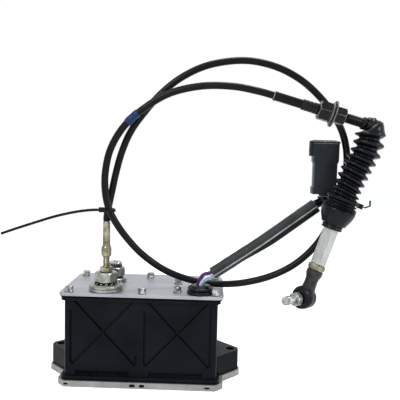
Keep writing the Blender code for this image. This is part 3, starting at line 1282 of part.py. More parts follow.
def build_drive():
    frame_back = FRAME_FRONT_Y + FRAME_THICK
    large_front = FRAME_FRONT_Y - SEAT_GAP - GEAR_WIDTH
    small_front = large_front - SEAT_GAP - GEAR_WIDTH
    drum_back = GLAND_Y + DRUM_HALF
    gear_gap = SEAT_GAP

    # Frame: an upright plate with a foot on the base plate
    low = BASE_THICK + SEAT_GAP
    side = [(FRAME_FRONT_Y - FRAME_FOOT, low), (frame_back, low), (frame_back, FRAME_TOP)]
    side += [(FRAME_FRONT_Y, FRAME_TOP), (FRAME_FRONT_Y, low + 4.0), (FRAME_FRONT_Y - FRAME_FOOT, low + 4.0)]
    stand = Matrix(((0, 0, 1, 0), (1, 0, 0, 0), (0, 1, 0, 0), (0, 0, 0, 1)))
    frame = make("gear_frame", prism(side, -FRAME_HALF_X + DRUM_X / 2, FRAME_HALF_X), "cast_alloy", stand)
    front_screw = SCREW_PLACES["front_inner"]
    back_screw = SCREW_PLACES["back_inner"]
    tongue_x = (front_screw[0] + back_screw[0]) / 2
    tongue_top = HOUSING_TOP - SEAT_GAP
    tongue = [(FRAME_FRONT_Y, FRAME_TOP - 6.0), (frame_back, FRAME_TOP - 6.0)]
    tongue += [(frame_back, tongue_top - TONGUE_THICK), (back_screw[1] + TONGUE_END, tongue_top - TONGUE_THICK)]
    tongue += [(back_screw[1] + TONGUE_END, tongue_top), (front_screw[1] - TONGUE_END * 0.7, tongue_top)]
    tongue += [(front_screw[1] - TONGUE_END * 0.7, tongue_top - TONGUE_THICK)]
    tongue += [(FRAME_FRONT_Y, tongue_top - TONGUE_THICK)]
    add(frame, prism(tongue, tongue_x - TONGUE_HALF, tongue_x + TONGUE_HALF), stand)
    for x, y in (front_screw, back_screw):
        cut(frame, rod(SCREW_RADIUS + SEAT_GAP, -2 * TONGUE_THICK, CUT_MARGIN, 12), at(x, y, tongue_top))
    holes = [(DRUM_X, BUSH_RADIUS + SEAT_GAP), (IDLER_X, IDLER_PIN_RADIUS + SEAT_GAP), (MOTOR_X, 5.0)]
    for x, radius in holes:
        cut(frame, rod(radius, -CUT_MARGIN, FRAME_THICK + CUT_MARGIN, 18), drive_place(x, frame_back))
    make("shaft_bush", tube(SHAFT_RADIUS + SEAT_GAP, BUSH_RADIUS, 0.0, FRAME_THICK, 18), "bronze",
         drive_place(DRUM_X, frame_back))

    # Drum with its shaft, and the output gear on the same shaft
    reach = DRUM_HALF * 2
    groove = 1.6
    sensor_end = frame_back + SENSOR_LENGTH - 1.0
    shaft_back = drum_back - sensor_end
    outline = [(0.0, shaft_back), (SHAFT_RADIUS, shaft_back), (SHAFT_RADIUS, 0.0), (DRUM_RIM, 0.0)]
    outline += [(DRUM_RIM, DRUM_HALF - groove), (DRUM_RADIUS, DRUM_HALF - 0.9), (DRUM_RADIUS, DRUM_HALF + 0.9)]
    outline += [(DRUM_RIM, DRUM_HALF + groove), (DRUM_RIM, reach), (0.0, reach)]
    drum = make("cable_drum", turned(outline, 32), "gear_steel", drive_place(DRUM_X, drum_back))
    output_back = drum_back + gear_gap + GEAR_WIDTH
    output = make("output_gear", prism(gear_outline(OUTPUT_TEETH, OUTPUT_MODULE), 0.0, GEAR_WIDTH),
                  "gear_steel", drive_place(DRUM_X, output_back))
    bore = rod(SHAFT_RADIUS + SEAT_GAP, -CUT_MARGIN, GEAR_WIDTH + CUT_MARGIN, 18)
    cut(output, bore, drive_place(DRUM_X, output_back))
    joint_empty("drum_axis", drive_place(DRUM_X, drum_back), [drum, output])

    # Idler: a large gear by the frame and a small one in front of it, turning on a fixed pin
    idler_back = FRAME_FRONT_Y - SEAT_GAP
    half_step = math.pi / IDLER_SMALL_TEETH
    small = prism(gear_outline(IDLER_SMALL_TEETH, OUTPUT_MODULE), GEAR_WIDTH - 0.5, 2 * GEAR_WIDTH + SEAT_GAP)
    idler = make("idler_gear", small, "gear_steel", drive_place(IDLER_X, idler_back, math.pi + half_step))
    large = prism(gear_outline(IDLER_LARGE_TEETH, MOTOR_MODULE), 0.0, GEAR_WIDTH)
    add(idler, large, drive_place(IDLER_X, idler_back))
    pin_front = -(small_front - idler_back) + 1.0
    bore = rod(IDLER_PIN_RADIUS + SEAT_GAP, -CUT_MARGIN, pin_front + 4.0, 14)
    cut(idler, bore, drive_place(IDLER_X, idler_back))
    joint_empty("idler_axis", drive_place(IDLER_X, idler_back), [idler])
    pin = rod(IDLER_PIN_RADIUS, 0.0, FRAME_THICK + SEAT_GAP + pin_front, 14)
    make("idler_pin", pin, "gear_steel", drive_place(IDLER_X, frame_back))

    # Motor behind the frame, with its pinion in front
    bell_back = frame_back + SEAT_GAP + END_BELL_LENGTH
    bell = tube(MOTOR_SHAFT_RADIUS + SEAT_GAP, MOTOR_RADIUS, 0.0, END_BELL_LENGTH, 24)
    make("motor_end_bell", bell, "dark_steel", drive_place(MOTOR_X, bell_back))
    can_back = bell_back + SEAT_GAP + MOTOR_LENGTH
    outline = [(0.0, 0.0), (MOTOR_RADIUS - 3.0, 0.0), (MOTOR_RADIUS, 3.0), (MOTOR_RADIUS, MOTOR_LENGTH)]
    outline += [(0.0, MOTOR_LENGTH)]
    make("motor_can", turned(outline, 24), "gear_steel", drive_place(MOTOR_X, can_back))
    pinion_half_step = math.pi / PINION_TEETH
    teeth = prism(gear_outline(PINION_TEETH, MOTOR_MODULE), 0.0, GEAR_WIDTH)
    turned_by = math.pi + pinion_half_step
    pinion = make("motor_pinion", teeth, "gear_steel", drive_place(MOTOR_X, idler_back, turned_by))
    shaft_length = bell_back - idler_back
    add(pinion, rod(MOTOR_SHAFT_RADIUS, -shaft_length, 0.5, 14), drive_place(MOTOR_X, idler_back))
    joint_empty("motor_axis", drive_place(MOTOR_X, idler_back), [pinion])

    # Position sensor on the shaft's rear end, circuit board on its posts, wire from the drum
    sensor_back = frame_back + SEAT_GAP + SENSOR_LENGTH
    outline = [(0.0, 0.0), (SENSOR_RADIUS, 0.0), (SENSOR_RADIUS, SENSOR_LENGTH)]
    outline += [(SHAFT_RADIUS + SEAT_GAP, SENSOR_LENGTH), (SHAFT_RADIUS + SEAT_GAP, 0.9), (0.0, 0.9)]
    make("position_sensor", turned(outline, 20), "black_moulding", drive_place(DRUM_X, sensor_back))
    half_x, half_y = BOARD_SIZE[0] / 2, BOARD_SIZE[1] / 2
    board_low = BASE_THICK + BOARD_POST_HEIGHT + SEAT_GAP
    outline = [(-half_x, -half_y), (half_x, -half_y), (half_x, half_y), (-half_x, half_y)]
    make("circuit_board", prism(outline, 0.0, BOARD_SIZE[2]), "board", at(*BOARD_CENTRE, board_low))
    wire_low = AXIS_HEIGHT
    wire_top = TOP_LOW - STEM_DEPTH - SEAT_GAP
    make("drum_wire", rod(DRUM_WIRE_RADIUS, wire_low, wire_top, 10), "bright_steel", at(GLAND_X, GLAND_Y, 0))


def main():
    clear_scene()
    build_base()
    build_housing()
    build_top()
    build_gland()
    build_plug()
    build_grommet()
    build_wires()
    build_lead()
    build_cable()
    build_bellows()
    build_rod()
    build_ties()
    build_drive()
    bpy.context.view_layer.update()


main()
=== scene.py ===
"""Looks for the throttle motor: materials for the CAD pieces, and finer pieces in place of the plain ones.

The frame is the part's own: +X to the right, +Y to the back, +Z up, the origin at the middle of the base plate's
underside. Sizes here are in millimetres, and each mesh is scaled to metres as it is made. The routes and the places
repeat those of the part's source.
"""
import json
import math

import bmesh
import bpy
from mathutils import Matrix, Vector, noise


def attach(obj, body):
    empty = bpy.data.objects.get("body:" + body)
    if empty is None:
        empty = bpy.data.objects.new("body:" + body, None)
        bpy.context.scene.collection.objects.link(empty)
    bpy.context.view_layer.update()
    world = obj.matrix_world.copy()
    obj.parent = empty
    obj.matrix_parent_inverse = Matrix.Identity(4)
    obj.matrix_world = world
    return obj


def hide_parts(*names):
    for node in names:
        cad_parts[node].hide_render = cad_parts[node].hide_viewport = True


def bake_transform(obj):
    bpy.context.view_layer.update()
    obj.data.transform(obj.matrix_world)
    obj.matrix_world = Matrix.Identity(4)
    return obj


MM = 0.001
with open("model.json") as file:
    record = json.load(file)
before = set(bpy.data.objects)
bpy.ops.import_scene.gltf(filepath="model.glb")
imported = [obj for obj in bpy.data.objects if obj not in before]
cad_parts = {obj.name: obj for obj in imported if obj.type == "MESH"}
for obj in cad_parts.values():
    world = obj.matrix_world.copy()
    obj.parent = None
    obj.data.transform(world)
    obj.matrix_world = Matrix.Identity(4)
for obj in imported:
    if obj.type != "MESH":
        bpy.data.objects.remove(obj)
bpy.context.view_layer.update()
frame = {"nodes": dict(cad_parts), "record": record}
nodes = frame["nodes"]


# Places and sizes, as in the part's source

TOP_FACE = 94.2
GAP = 0.3
BASE_HALF_Y = 47.0
BASE_MARKS = [(-73.0, 4.4, 2.0), (-7.0, 5.6, 3.0), (2.6, 5.0, 3.0), (67.0, 5.4, 2.0)]  # x, width, height
BASE_MARK_MIDDLE = 3.0
GROOVE_FLOOR_Y = 41.5
GROOVE_WIDENED_FROM = 20.0
GROOVE_WIDENED_BY = 0.32
GROOVE_SUNK_BY = 1.0
GLAND_X, GLAND_Y = -37.2, -28.4
PLUG_X, PLUG_Y = -29.8, 9.5
PLUG_MOVED_LEFT = 5.0
GROMMET_X, GROMMET_Y = 58.0, -32.4
FERRULE_TOP = 163.0
CABLE_END_Y = -40.0
CONNECTOR_X, CONNECTOR_Y = 180.4, -13.0
CONNECTOR_TOP = 250.2
CONNECTOR_DROP = 1.2           # of the whole shell, and as much again at its open end
CONNECTOR_DROP_REACH = 30.0
CONDUIT_RADIUS = 3.5
CABLE_STEP = 15.0
TAPE_MIDDLE = Vector((-11.5, -34.9, 266.0))
SCREW_PLACES = {
    "front_left": (-72.0, -38.8),
    "back_left": (-72.0, 32.6),
    "front_middle": (0.8, -38.8),
    "back_middle": (0.8, 31.2),
    "front_inner": (35.0, -30.5),
    "back_inner": (33.5, 7.0),
    "front_right": (73.4, -39.2),
    "back_right": (73.0, 32.6),
}
FITTING_START = Vector((123.7, CABLE_END_Y, 289.6))
FITTING_END = Vector((212.9, CABLE_END_Y, 264.2))
FITTING_AXIS = (FITTING_END - FITTING_START).normalized()
FITTING_FALL = 15.9
FLANGE_NUT_AT, WASHER_AT, LOCK_NUT_AT = 44.5, 56.8, 60.5
ROD_TOP = Vector((187.6, CABLE_END_Y, 176.0))
ROD_DIRECTION = Vector((-11.8, 0.0, -35.5)).normalized()
BALL_REACH = 85.2
BALL_CENTRE = ROD_TOP + ROD_DIRECTION * BALL_REACH
BALL_RADIUS = 6.2
NECK_RADIUS = 3.0
STUD_SHOULDER = 11.2
STUD_TILT = math.radians(12.0)
BACK = Vector((0, 1, 0))

CONDUIT_ROUTE = [
    (-37.2, -28.4, FERRULE_TOP + 2 * GAP), (-37.0, -28.3, 170.0), (-35.2, -28.0, 180.0), (-32.2, -27.4, 195.0),
    (-28.9, -26.8, 211.5), (-23.6, -25.8, 232.0), (-15.0, -25.0, 253.0), (-1.5, -24.6, 272.5),
    (15.5, -24.0, 292.0), (36.0, -23.0, 308.4), (62.0, -22.0, 320.4), (95.0, -20.8, 325.4),
    (125.0, -19.6, 320.8), (151.0, -18.6, 308.8), (172.0, -17.4, 291.6), (188.0, -16.6, 272.0),
    (198.0, -16.0, 251.5), (201.6, -16.0, 228.0), (198.4, -16.0, 201.0), (189.0, -16.0, 170.0),
    (175.0, -16.0, 144.5), (155.0, -16.0, 124.2), (131.0, -15.6, 110.6), (105.0, -13.6, 102.4),
    (82.0, -11.4, 99.3), (58.2, -10.0, 100.2), (36.0, -10.6, 105.6), (16.0, -14.8, 115.4),
    (-3.0, -21.6, 130.8), (-17.0, -28.0, 147.4), (-27.0, -33.6, 163.0), (-33.6, -35.9, 177.0),
    (-37.3, -36.0, 193.0), (-37.6, -35.6, 213.0), (-32.6, -35.0, 236.0), (-20.0, -34.8, 257.6),
    (-1.5, -35.0, 274.8), (24.0, -35.4, 290.2), (55.0, -36.6, 297.6), (85.0, -38.4, 297.6),
    (109.0, -39.8, 293.4),
]
SLEEVE_ROUTE = [
    (69.8, -31.4, 114.2), (112.0, -26.0, 142.2),
    (127.4, -23.2, 152.8), (142.4, -20.2, 163.4), (157.0, -17.2, 173.8), (171.4, -14.6, 184.0),
]
SLEEVE_RADIUS = 6.0
SLEEVE_WIDTH, SLEEVE_DEPTH = 0.96, 1.03
SLIT_ANGLE = 196.0
JACKET_ANGLE = 243.0
TAIL_ROUTE = [
    (172.3, -14.5, 184.7), (175.2, -13.9, 186.0), (178.5, -13.3, 187.8), (180.3, -13.0, 189.8),
    (180.4, -13.0, 192.2),
]

# The bellows' crests and cup: x, z, lean in degrees, radius
BELLOWS_FOLDS = [
    (216.4, 255.0, 4.0, 14.4), (215.3, 245.8, 12.0, 14.6), (212.8, 237.0, 18.0, 14.6), (209.0, 230.4, 22.0, 14.6),
    (205.8, 223.8, 25.0, 14.5), (203.2, 217.8, 27.0, 14.3), (200.4, 211.2, 28.5, 14.2), (197.9, 204.8, 29.0, 14.0),
    (195.6, 198.8, 27.0, 14.2), (194.2, 195.2, 25.0, 14.4), (193.1, 191.9, 23.0, 14.8), (192.2, 188.8, 21.0, 15.4),
]
CUP_RINGS = [
    (191.0, 185.8, 19.5, 16.4), (190.4, 183.9, 19.0, 16.7), (189.8, 182.0, 18.8, 16.6),
    (188.7, 178.8, 18.5, 16.1), (187.5, 175.6, 18.4, 15.2), (186.5, 172.6, 18.4, 13.8),
    (185.7, 170.2, 18.4, 12.6), (185.2, 168.8, 18.4, 12.1), (184.95, 168.0, 18.4, 11.6),
]
BELLOWS_DIP = 5.0
BELLOWS_DIP_SHARE = 0.64
BELLOWS_BORE = 8.2
ROUND_SIDES = 44


# Materials

def set_inputs(node, values):
    for name, value in values.items():
        node.inputs[name].default_value = value


def procedural(first, second, patch, rough, metallic, grain, bump, streak=None, coat=0.0, sheen=0.0, specular=0.5):
    """A finish whose colour drifts between two tones in patches, with varied roughness and a fine grain."""
    made = bpy.data.materials.new("look")
    made.use_nodes = True
    tree = made.node_tree
    shader = tree.nodes["Principled BSDF"]
    set_inputs(shader, {"Metallic": metallic, "Coat Weight": coat, "Coat Roughness": 0.15, "Sheen Weight": sheen,
                        "Specular IOR Level": specular})
    place = tree.nodes.new("ShaderNodeTexCoord")
    stretch = tree.nodes.new("ShaderNodeMapping")
    stretch.inputs["Scale"].default_value = streak or (1, 1, 1)
    tree.links.new(place.outputs["Object"], stretch.inputs["Vector"])

    def noise_node(scale, detail, roughness=0.6):
        node = tree.nodes.new("ShaderNodeTexNoise")
        set_inputs(node, {"Scale": scale, "Detail": detail, "Roughness": roughness})
        tree.links.new(stretch.outputs["Vector"], node.inputs["Vector"])
        return node

    tones = tree.nodes.new("ShaderNodeValToRGB")
    tones.color_ramp.elements[0].position = 0.36
    tones.color_ramp.elements[0].color = (*first, 1.0)
    tones.color_ramp.elements[1].position = 0.66
    tones.color_ramp.elements[1].color = (*second, 1.0)
    tree.links.new(noise_node(patch, 6.0).outputs["Fac"], tones.inputs["Fac"])
    tree.links.new(tones.outputs["Color"], shader.inputs["Base Color"])
    spread = tree.nodes.new("ShaderNodeMapRange")
    set_inputs(spread, {"From Min": 0.3, "From Max": 0.7, "To Min": rough[0], "To Max": rough[1]})
    tree.links.new(noise_node(patch * 2.7, 5.0).outputs["Fac"], spread.inputs["Value"])
    tree.links.new(spread.outputs["Result"], shader.inputs["Roughness"])
    relief = tree.nodes.new("ShaderNodeBump")
    set_inputs(relief, {"Strength": bump, "Distance": 0.0004})
    tree.links.new(noise_node(grain, 4.0, 0.7).outputs["Fac"], relief.inputs["Height"])
    tree.links.new(relief.outputs["Normal"], shader.inputs["Normal"])
    return made


LOOKS = {
    "cast_alloy": procedural((0.27, 0.27, 0.265), (0.37, 0.37, 0.36), 55, (0.42, 0.62), 0.35, 1500, 0.24),
    "plated_plate": procedural((0.30, 0.32, 0.355), (0.385, 0.405, 0.44), 28, (0.30, 0.46), 0.45, 2600, 0.06,
                               streak=(1.0, 2.2, 1.0)),
    "black_moulding": procedural((0.0035, 0.0050, 0.0068), (0.0075, 0.0098, 0.0130), 26, (0.22, 0.36), 0.0, 3200,
                                 0.05, specular=0.05),
    "grey_moulding": procedural((0.019, 0.023, 0.027), (0.027, 0.032, 0.037), 60, (0.24, 0.38), 0.0, 3200, 0.05,
                                specular=0.08),
    "worn_rim": procedural((0.13, 0.135, 0.14), (0.36, 0.37, 0.38), 90, (0.25, 0.4), 0.3, 2200, 0.05, specular=0.4),
    "silver_stud": procedural((0.12, 0.125, 0.125), (0.62, 0.63, 0.62), 210, (0.18, 0.32), 0.7, 2200, 0.10),
    # painted highlight: a pale grey for the light caught on the sleeve's slit edge and on the connector lip's rims
    "painted_highlight": procedural((0.24, 0.25, 0.25), (0.50, 0.51, 0.51), 60, (0.3, 0.4), 0.0, 2200, 0.05, specular=0.3),
    "bright_zinc": procedural((0.055, 0.058, 0.055), (0.66, 0.67, 0.65), 300, (0.16, 0.3), 0.7, 2200, 0.10),
    "gasket": procedural((0.003, 0.003, 0.0035), (0.006, 0.006, 0.007), 90, (0.55, 0.75), 0.0, 2400, 0.2,
                         specular=0.05),
    "zinc": procedural((0.165, 0.180, 0.155), (0.37, 0.39, 0.355), 120, (0.18, 0.34), 0.75, 2200, 0.14),
    "yellow_zinc": procedural((0.095, 0.078, 0.040), (0.34, 0.335, 0.235), 110, (0.20, 0.38), 0.7, 2200, 0.14),
    "dark_steel": procedural((0.010, 0.0105, 0.0105), (0.050, 0.050, 0.047), 120, (0.28, 0.50), 0.35, 1700, 0.30,
                             specular=0.25),
    "rubber": procedural((0.0012, 0.0018, 0.0032), (0.0040, 0.0052, 0.0082), 70, (0.24, 0.32), 0.0, 900, 0.015,
                         specular=0.17),
    "sleeve": procedural((0.022, 0.026, 0.026), (0.044, 0.050, 0.049), 60, (0.36, 0.52), 0.0, 1900, 0.14,
                         specular=0.15),
    "conduit": procedural((0.0018, 0.0022, 0.0030), (0.0052, 0.0060, 0.0074), 80, (0.26, 0.38), 0.0, 2600, 0.06,
                          specular=0.12),
    "purple_wire": procedural((0.034, 0.008, 0.085), (0.075, 0.022, 0.165), 160, (0.3, 0.4), 0.0, 2600, 0.05,
                              specular=0.3),
    "white_wire": procedural((0.62, 0.62, 0.64), (0.76, 0.76, 0.78), 160, (0.3, 0.4), 0.0, 2600, 0.05),
    "blue_wire": procedural((0.20, 0.40, 0.52), (0.32, 0.52, 0.63), 160, (0.3, 0.4), 0.0, 2600, 0.05),
    "dark_wire": procedural((0.006, 0.012, 0.016), (0.012, 0.022, 0.028), 160, (0.3, 0.4), 0.0, 2600, 0.05,
                            specular=0.2),
    "blue_tape": procedural((0.003, 0.018, 0.080), (0.008, 0.036, 0.13), 140, (0.26, 0.38), 0.0, 1500, 0.16,
                            specular=0.2),
    "black_steel": procedural((0.0022, 0.0026, 0.0032), (0.013, 0.0145, 0.017), 120, (0.22, 0.36), 0.1, 2200, 0.12,
                              specular=0.16),
    "bright_steel": procedural((0.33, 0.34, 0.33), (0.52, 0.53, 0.51), 90, (0.26, 0.42), 0.6, 2000, 0.08,
                               streak=(1.0, 1.0, 0.25)),
    "nylon": procedural((0.004, 0.004, 0.004), (0.009, 0.009, 0.009), 100, (0.34, 0.46), 0.0, 2400, 0.06,
                        specular=0.12),
    "gear_steel": procedural((0.34, 0.34, 0.35), (0.46, 0.46, 0.47), 90, (0.26, 0.4), 0.85, 1800, 0.08),
    "bronze": procedural((0.30, 0.18, 0.07), (0.45, 0.28, 0.12), 120, (0.3, 0.46), 0.85, 1800, 0.10),
    "board": procedural((0.02, 0.12, 0.045), (0.04, 0.20, 0.08), 200, (0.3, 0.42), 0.0, 1500, 0.12),
}
for name, look in LOOKS.items():
    look.name = "looks_" + name


def dress_frame():
    """Gives each CAD node the look of its own slot in the record."""
    for part in frame["record"]["subparts"]:
        node = nodes[part["node"]]
        for place in node.material_slots:
            place.material = LOOKS[part["material_slot"]]


# Making pieces

def at(x, y, z):
    return Matrix.Translation(Vector((x, y, z)))


def along(start, direction, side=BACK):
    """A place whose own +Z runs along a direction, with its +X turned towards side."""
    z_axis = Vector(direction).normalized()
    x_axis = (side - z_axis * side.dot(z_axis)).normalized()
    y_axis = z_axis.cross(x_axis)
    turn = Matrix((x_axis, y_axis, z_axis)).transposed().to_4x4()
    return Matrix.Translation(Vector(start)) @ turn


def new_object(name, data):
    thing = bpy.data.objects.new(name, data)
    bpy.context.scene.collection.objects.link(thing)
    return thing


def finished(name, mesh, slot, body, replaced, sharp, bevel, blend, rim_slot=None):
    """Names a mesh as a piece, gives it its look, and ties it to a body of the frame; a piece given a blend is left
    in the world, tied to no body.
    """
    mesh.shade_smooth()
    mesh.set_sharp_from_angle(angle=math.radians(sharp))
    piece = new_object(name, mesh)
    mesh.materials.clear()
    mesh.materials.append(LOOKS[slot])
    if rim_slot:
        mesh.materials.append(LOOKS[rim_slot])
    if bevel:
        edge = piece.modifiers.new("edge", "BEVEL")
        edge.material = 1 if rim_slot else -1
        edge.width = bevel * MM
        edge.segments = 2
        edge.limit_method = "ANGLE"
        edge.angle_limit = math.radians(38)
        edge.harden_normals = False
    if blend:
        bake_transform(piece)
    else:
        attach(piece, body)
    if replaced:
        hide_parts(*replaced)
    return piece


def make(name, shape, slot, place=None, body="body", replaced=(), sharp=35.0, bevel=0.0, blend=None,
         rim_slot=None):
    """Turns a shape in millimetres into a piece in the frame."""
    bmesh.ops.recalc_face_normals(shape, faces=shape.faces)
    if place is not None:
        bmesh.ops.transform(shape, matrix=place, verts=shape.verts)
    bmesh.ops.scale(shape, vec=(MM, MM, MM), verts=shape.verts)
    mesh = bpy.data.meshes.new(name)
    shape.to_mesh(mesh)
    shape.free()
    return finished(name, mesh, slot, body, replaced, sharp, bevel, blend, rim_slot)


def refined(node, name, slot, bevel, body="body", extra=(), sharp=32.0, adjust=None):
    """A piece from a CAD node's own solid, welded, with its flat faces whole and its edges eased."""
    shape = bmesh.new()
    shape.from_mesh(nodes[node].data)
    bmesh.ops.remove_doubles(shape, verts=shape.verts, dist=0.000002)
    bmesh.ops.dissolve_limit(shape, angle_limit=math.radians(0.6), verts=shape.verts, edges=shape.edges)
    bmesh.ops.scale(shape, vec=(1 / MM, 1 / MM, 1 / MM), verts=shape.verts)
    if adjust:
        adjust(shape)
    for other in extra:
        merge(shape, other)
    return make(name, shape, slot, None, body, (node,), sharp, bevel)


def merge(shape, other, place=None):
    """Adds another closed shape to a shape, at its place."""
    if place is not None:
        bmesh.ops.transform(other, matrix=place, verts=other.verts)
    bmesh.ops.recalc_face_normals(other, faces=other.faces)
    spare = bpy.data.meshes.new("spare")
    other.to_mesh(spare)
    other.free()
    shape.from_mesh(spare)
    bpy.data.meshes.remove(spare)
    return shape


def boolean(shape, cutter, operation, place=None):
    """A shape with another cut from it, added to it or crossed with it."""
    for part in (shape, cutter):
        bmesh.ops.recalc_face_normals(part, faces=part.faces)
    if place is not None:
        bmesh.ops.transform(cutter, matrix=place, verts=cutter.verts)
    whole, tool = spare_object(shape), spare_object(cutter)
    step = whole.modifiers.new("step", "BOOLEAN")
    step.operation = operation
    step.solver = "EXACT"
    step.object = tool
    result = settled(whole)
    discard(whole)
    discard(tool)
    return result


def spare_object(shape):
    """A working object from a shape, which is used up."""
    mesh = bpy.data.meshes.new("spare")
    shape.to_mesh(mesh)
    shape.free()
    return new_object("spare", mesh)


def discard(spare):
    mesh = spare.data
    bpy.data.objects.remove(spare)
    bpy.data.meshes.remove(mesh)


def settled(thing):
    """The shape of an object once its modifiers are applied."""
    bpy.context.view_layer.update()
    graph = bpy.context.evaluated_depsgraph_get()
    mesh = bpy.data.meshes.new_from_object(thing.evaluated_get(graph))
    shape = bmesh.new()
    shape.from_mesh(mesh)
    bpy.data.meshes.remove(mesh)
    return shape


# Shapes

def turned(outline, sides, ring=False):
    """A body turned about Z from an outline of (radius, height); a ring's outline closes on itself."""
    shape = bmesh.new()
    points = [shape.verts.new((radius, 0.0, height)) for radius, height in outline]
    edges = [shape.edges.new(pair) for pair in zip(points, points[1:])]
    if ring:
        edges.append(shape.edges.new((points[-1], points[0])))
    bmesh.ops.spin(shape, geom=points + edges, cent=(0, 0, 0), axis=(0, 0, 1), angle=2 * math.pi, steps=sides)
    bmesh.ops.remove_doubles(shape, verts=shape.verts, dist=0.0005)
    return shape


def prism(outline, low, high):
    shape = bmesh.new()
    face = shape.faces.new([shape.verts.new((x, y, low)) for x, y in outline])
    raised = bmesh.ops.extrude_face_region(shape, geom=[face])
    moved = [item for item in raised["geom"] if isinstance(item, bmesh.types.BMVert)]
    bmesh.ops.translate(shape, vec=(0, 0, high - low), verts=moved)
    return shape


def box(low, high):
    """A box between two corners."""
    outline = [(low[0], low[1]), (high[0], low[1]), (high[0], high[1]), (low[0], high[1])]
    return prism(outline, low[2], high[2])


def arc(centre_x, centre_y, radius, start, end, steps):
    points = []
    for step in range(steps + 1):
        angle = math.radians(start + (end - start) * step / steps)
        points.append((centre_x + radius * math.cos(angle), centre_y + radius * math.sin(angle)))
    return points


def hexagon(flats):
    return arc(0, 0, flats / math.sqrt(3), 0, 300, 5)


def rounded_rectangle(half_x, half_y, corner, steps=4):
    inner_x = half_x - corner
    inner_y = half_y - corner
    points = arc(inner_x, -inner_y, corner, -90, 0, steps)
    points += arc(inner_x, inner_y, corner, 0, 90, steps)
    points += arc(-inner_x, inner_y, corner, 90, 180, steps)
    points += arc(-inner_x, -inner_y, corner, 180, 270, steps)
    return points


def nut(flats, bore, length, turned_down=0.5):
    """A hexagonal nut: a hexagon whose corners are turned down, with a bore that is eased at its mouths."""
    corner = flats / math.sqrt(3)
    face = flats / 2 * 0.97
    drop = (corner - face) * turned_down
    ease = 0.5
    outline = [(bore + ease, 0.0), (face, 0.0), (corner + 0.3, drop + 0.15), (corner + 0.3, length - drop - 0.15)]
    outline += [(face, length), (bore + ease, length), (bore, length - ease), (bore, ease)]
    blank = turned(outline, 48, ring=True)
    return boolean(blank, prism(hexagon(flats), -1.0, length + 1.0), "INTERSECT")


def threaded(radius, depth, pitch, low, high, sides=28):
    """A screw thread on a solid bar; it runs out at both ends."""
    shape = bmesh.new()
    rows = max(4, round((high - low) / (pitch / 5)))
    rings = []
    for row in range(rows + 1):
        height = low + (high - low) * row / rows
        fade = max(0.0, min(1.0, (height - low) / pitch, (high - height) / pitch))
        ring = []
        for step in range(sides):
            turn = step / sides
            phase = (height / pitch - turn) % 1.0
            groove = min(1.0, max(0.0, 1.5 * abs(2 * phase - 1) - 0.2))
            reach = radius - depth * groove * fade - (1 - fade) * depth * 0.8
            angle = 2 * math.pi * turn
            ring.append(shape.verts.new((reach * math.cos(angle), reach * math.sin(angle), height)))
        rings.append(ring)
    skin(shape, rings)
    shape.faces.new(rings[0])
    shape.faces.new(rings[-1])
    return shape


def skin(shape, rings):
    """Faces between neighbouring rings of points."""
    for low, high in zip(rings, rings[1:]):
        count = len(low)
        for step in range(count):
            after = (step + 1) % count
            shape.faces.new((low[step], low[after], high[after], high[step]))


def ring_at(centre, normal, side, radius, sides):
    normal = Vector(normal).normalized()
    first = (side - normal * side.dot(normal)).normalized()
    second = normal.cross(first)
    points = []
    for step in range(sides):
        angle = 2 * math.pi * step / sides
        points.append(Vector(centre) + (first * math.cos(angle) + second * math.sin(angle)) * radius)
    return points


def loft(rings, hollow=False):
    """A skin through rings of points; hollow joins the last ring to the first."""
    shape = bmesh.new()
    loops = [[shape.verts.new(point) for point in ring] for ring in rings]
    skin(shape, loops + [loops[0]] if hollow else loops)
    if not hollow:
        shape.faces.new(loops[0])
        shape.faces.new(loops[-1])
    return shape


def smooth_path(route, spacing):
    """Evenly spaced points on a smooth curve through a route's own points."""
    points = [Vector(point) for point in route]
    padded = [points[0] * 2 - points[1]] + points + [points[-1] * 2 - points[-2]]
    fine = []
    steps = 24
    for before, here, there, after in zip(padded, padded[1:], padded[2:], padded[3:]):
        for step in range(steps):
            t = step / steps
            fine.append(0.5 * (2 * here + (there - before) * t
                               + (2 * before - 5 * here + 4 * there - after) * t * t
                               + (3 * here - before - 3 * there + after) * t * t * t))
    fine.append(points[-1])
    lengths = [0.0]
    for here, there in zip(fine, fine[1:]):
        lengths.append(lengths[-1] + (there - here).length)
    count = max(2, round(lengths[-1] / spacing))
    path = []
    place = 0
    for step in range(count + 1):
        wanted = lengths[-1] * step / count
        while place < len(fine) - 2 and lengths[place + 1] < wanted:
            place += 1
        share = (wanted - lengths[place]) / max(lengths[place + 1] - lengths[place], 1e-9)
        path.append(fine[place].lerp(fine[place + 1], min(1.0, share)))
    return path


def swept(path, section, up=BACK):
    """A section about a path, carried along it; section(share) gives its points at a share of the path."""
    rings = []
    for index, place in enumerate(path):
        ahead = (path[min(index + 1, len(path) - 1)] - path[max(index - 1, 0)]).normalized()
        first = (up - ahead * up.dot(ahead)).normalized()
        second = ahead.cross(first)
        points = section(index / (len(path) - 1))
        rings.append([place + first * x + second * y for x, y in points])
    return loft(rings)


def cord_curve(name, path, radius, slot, resolution=6):
    """A round cord as one open curve."""
    curve = bpy.data.curves.new(name, "CURVE")
    curve.dimensions = "3D"
    curve.bevel_depth = radius * MM
    curve.bevel_resolution = resolution
    curve.use_fill_caps = True
    line = curve.splines.new("POLY")
    line.points.add(len(path) - 1)
    for point, place in zip(line.points, path):
        point.co = (*(place * MM), 1.0)
    line.use_smooth = True
    piece = new_object(name, curve)
    curve.materials.append(LOOKS[slot])
    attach(piece, "body")
    return piece


# Camera, floor and light

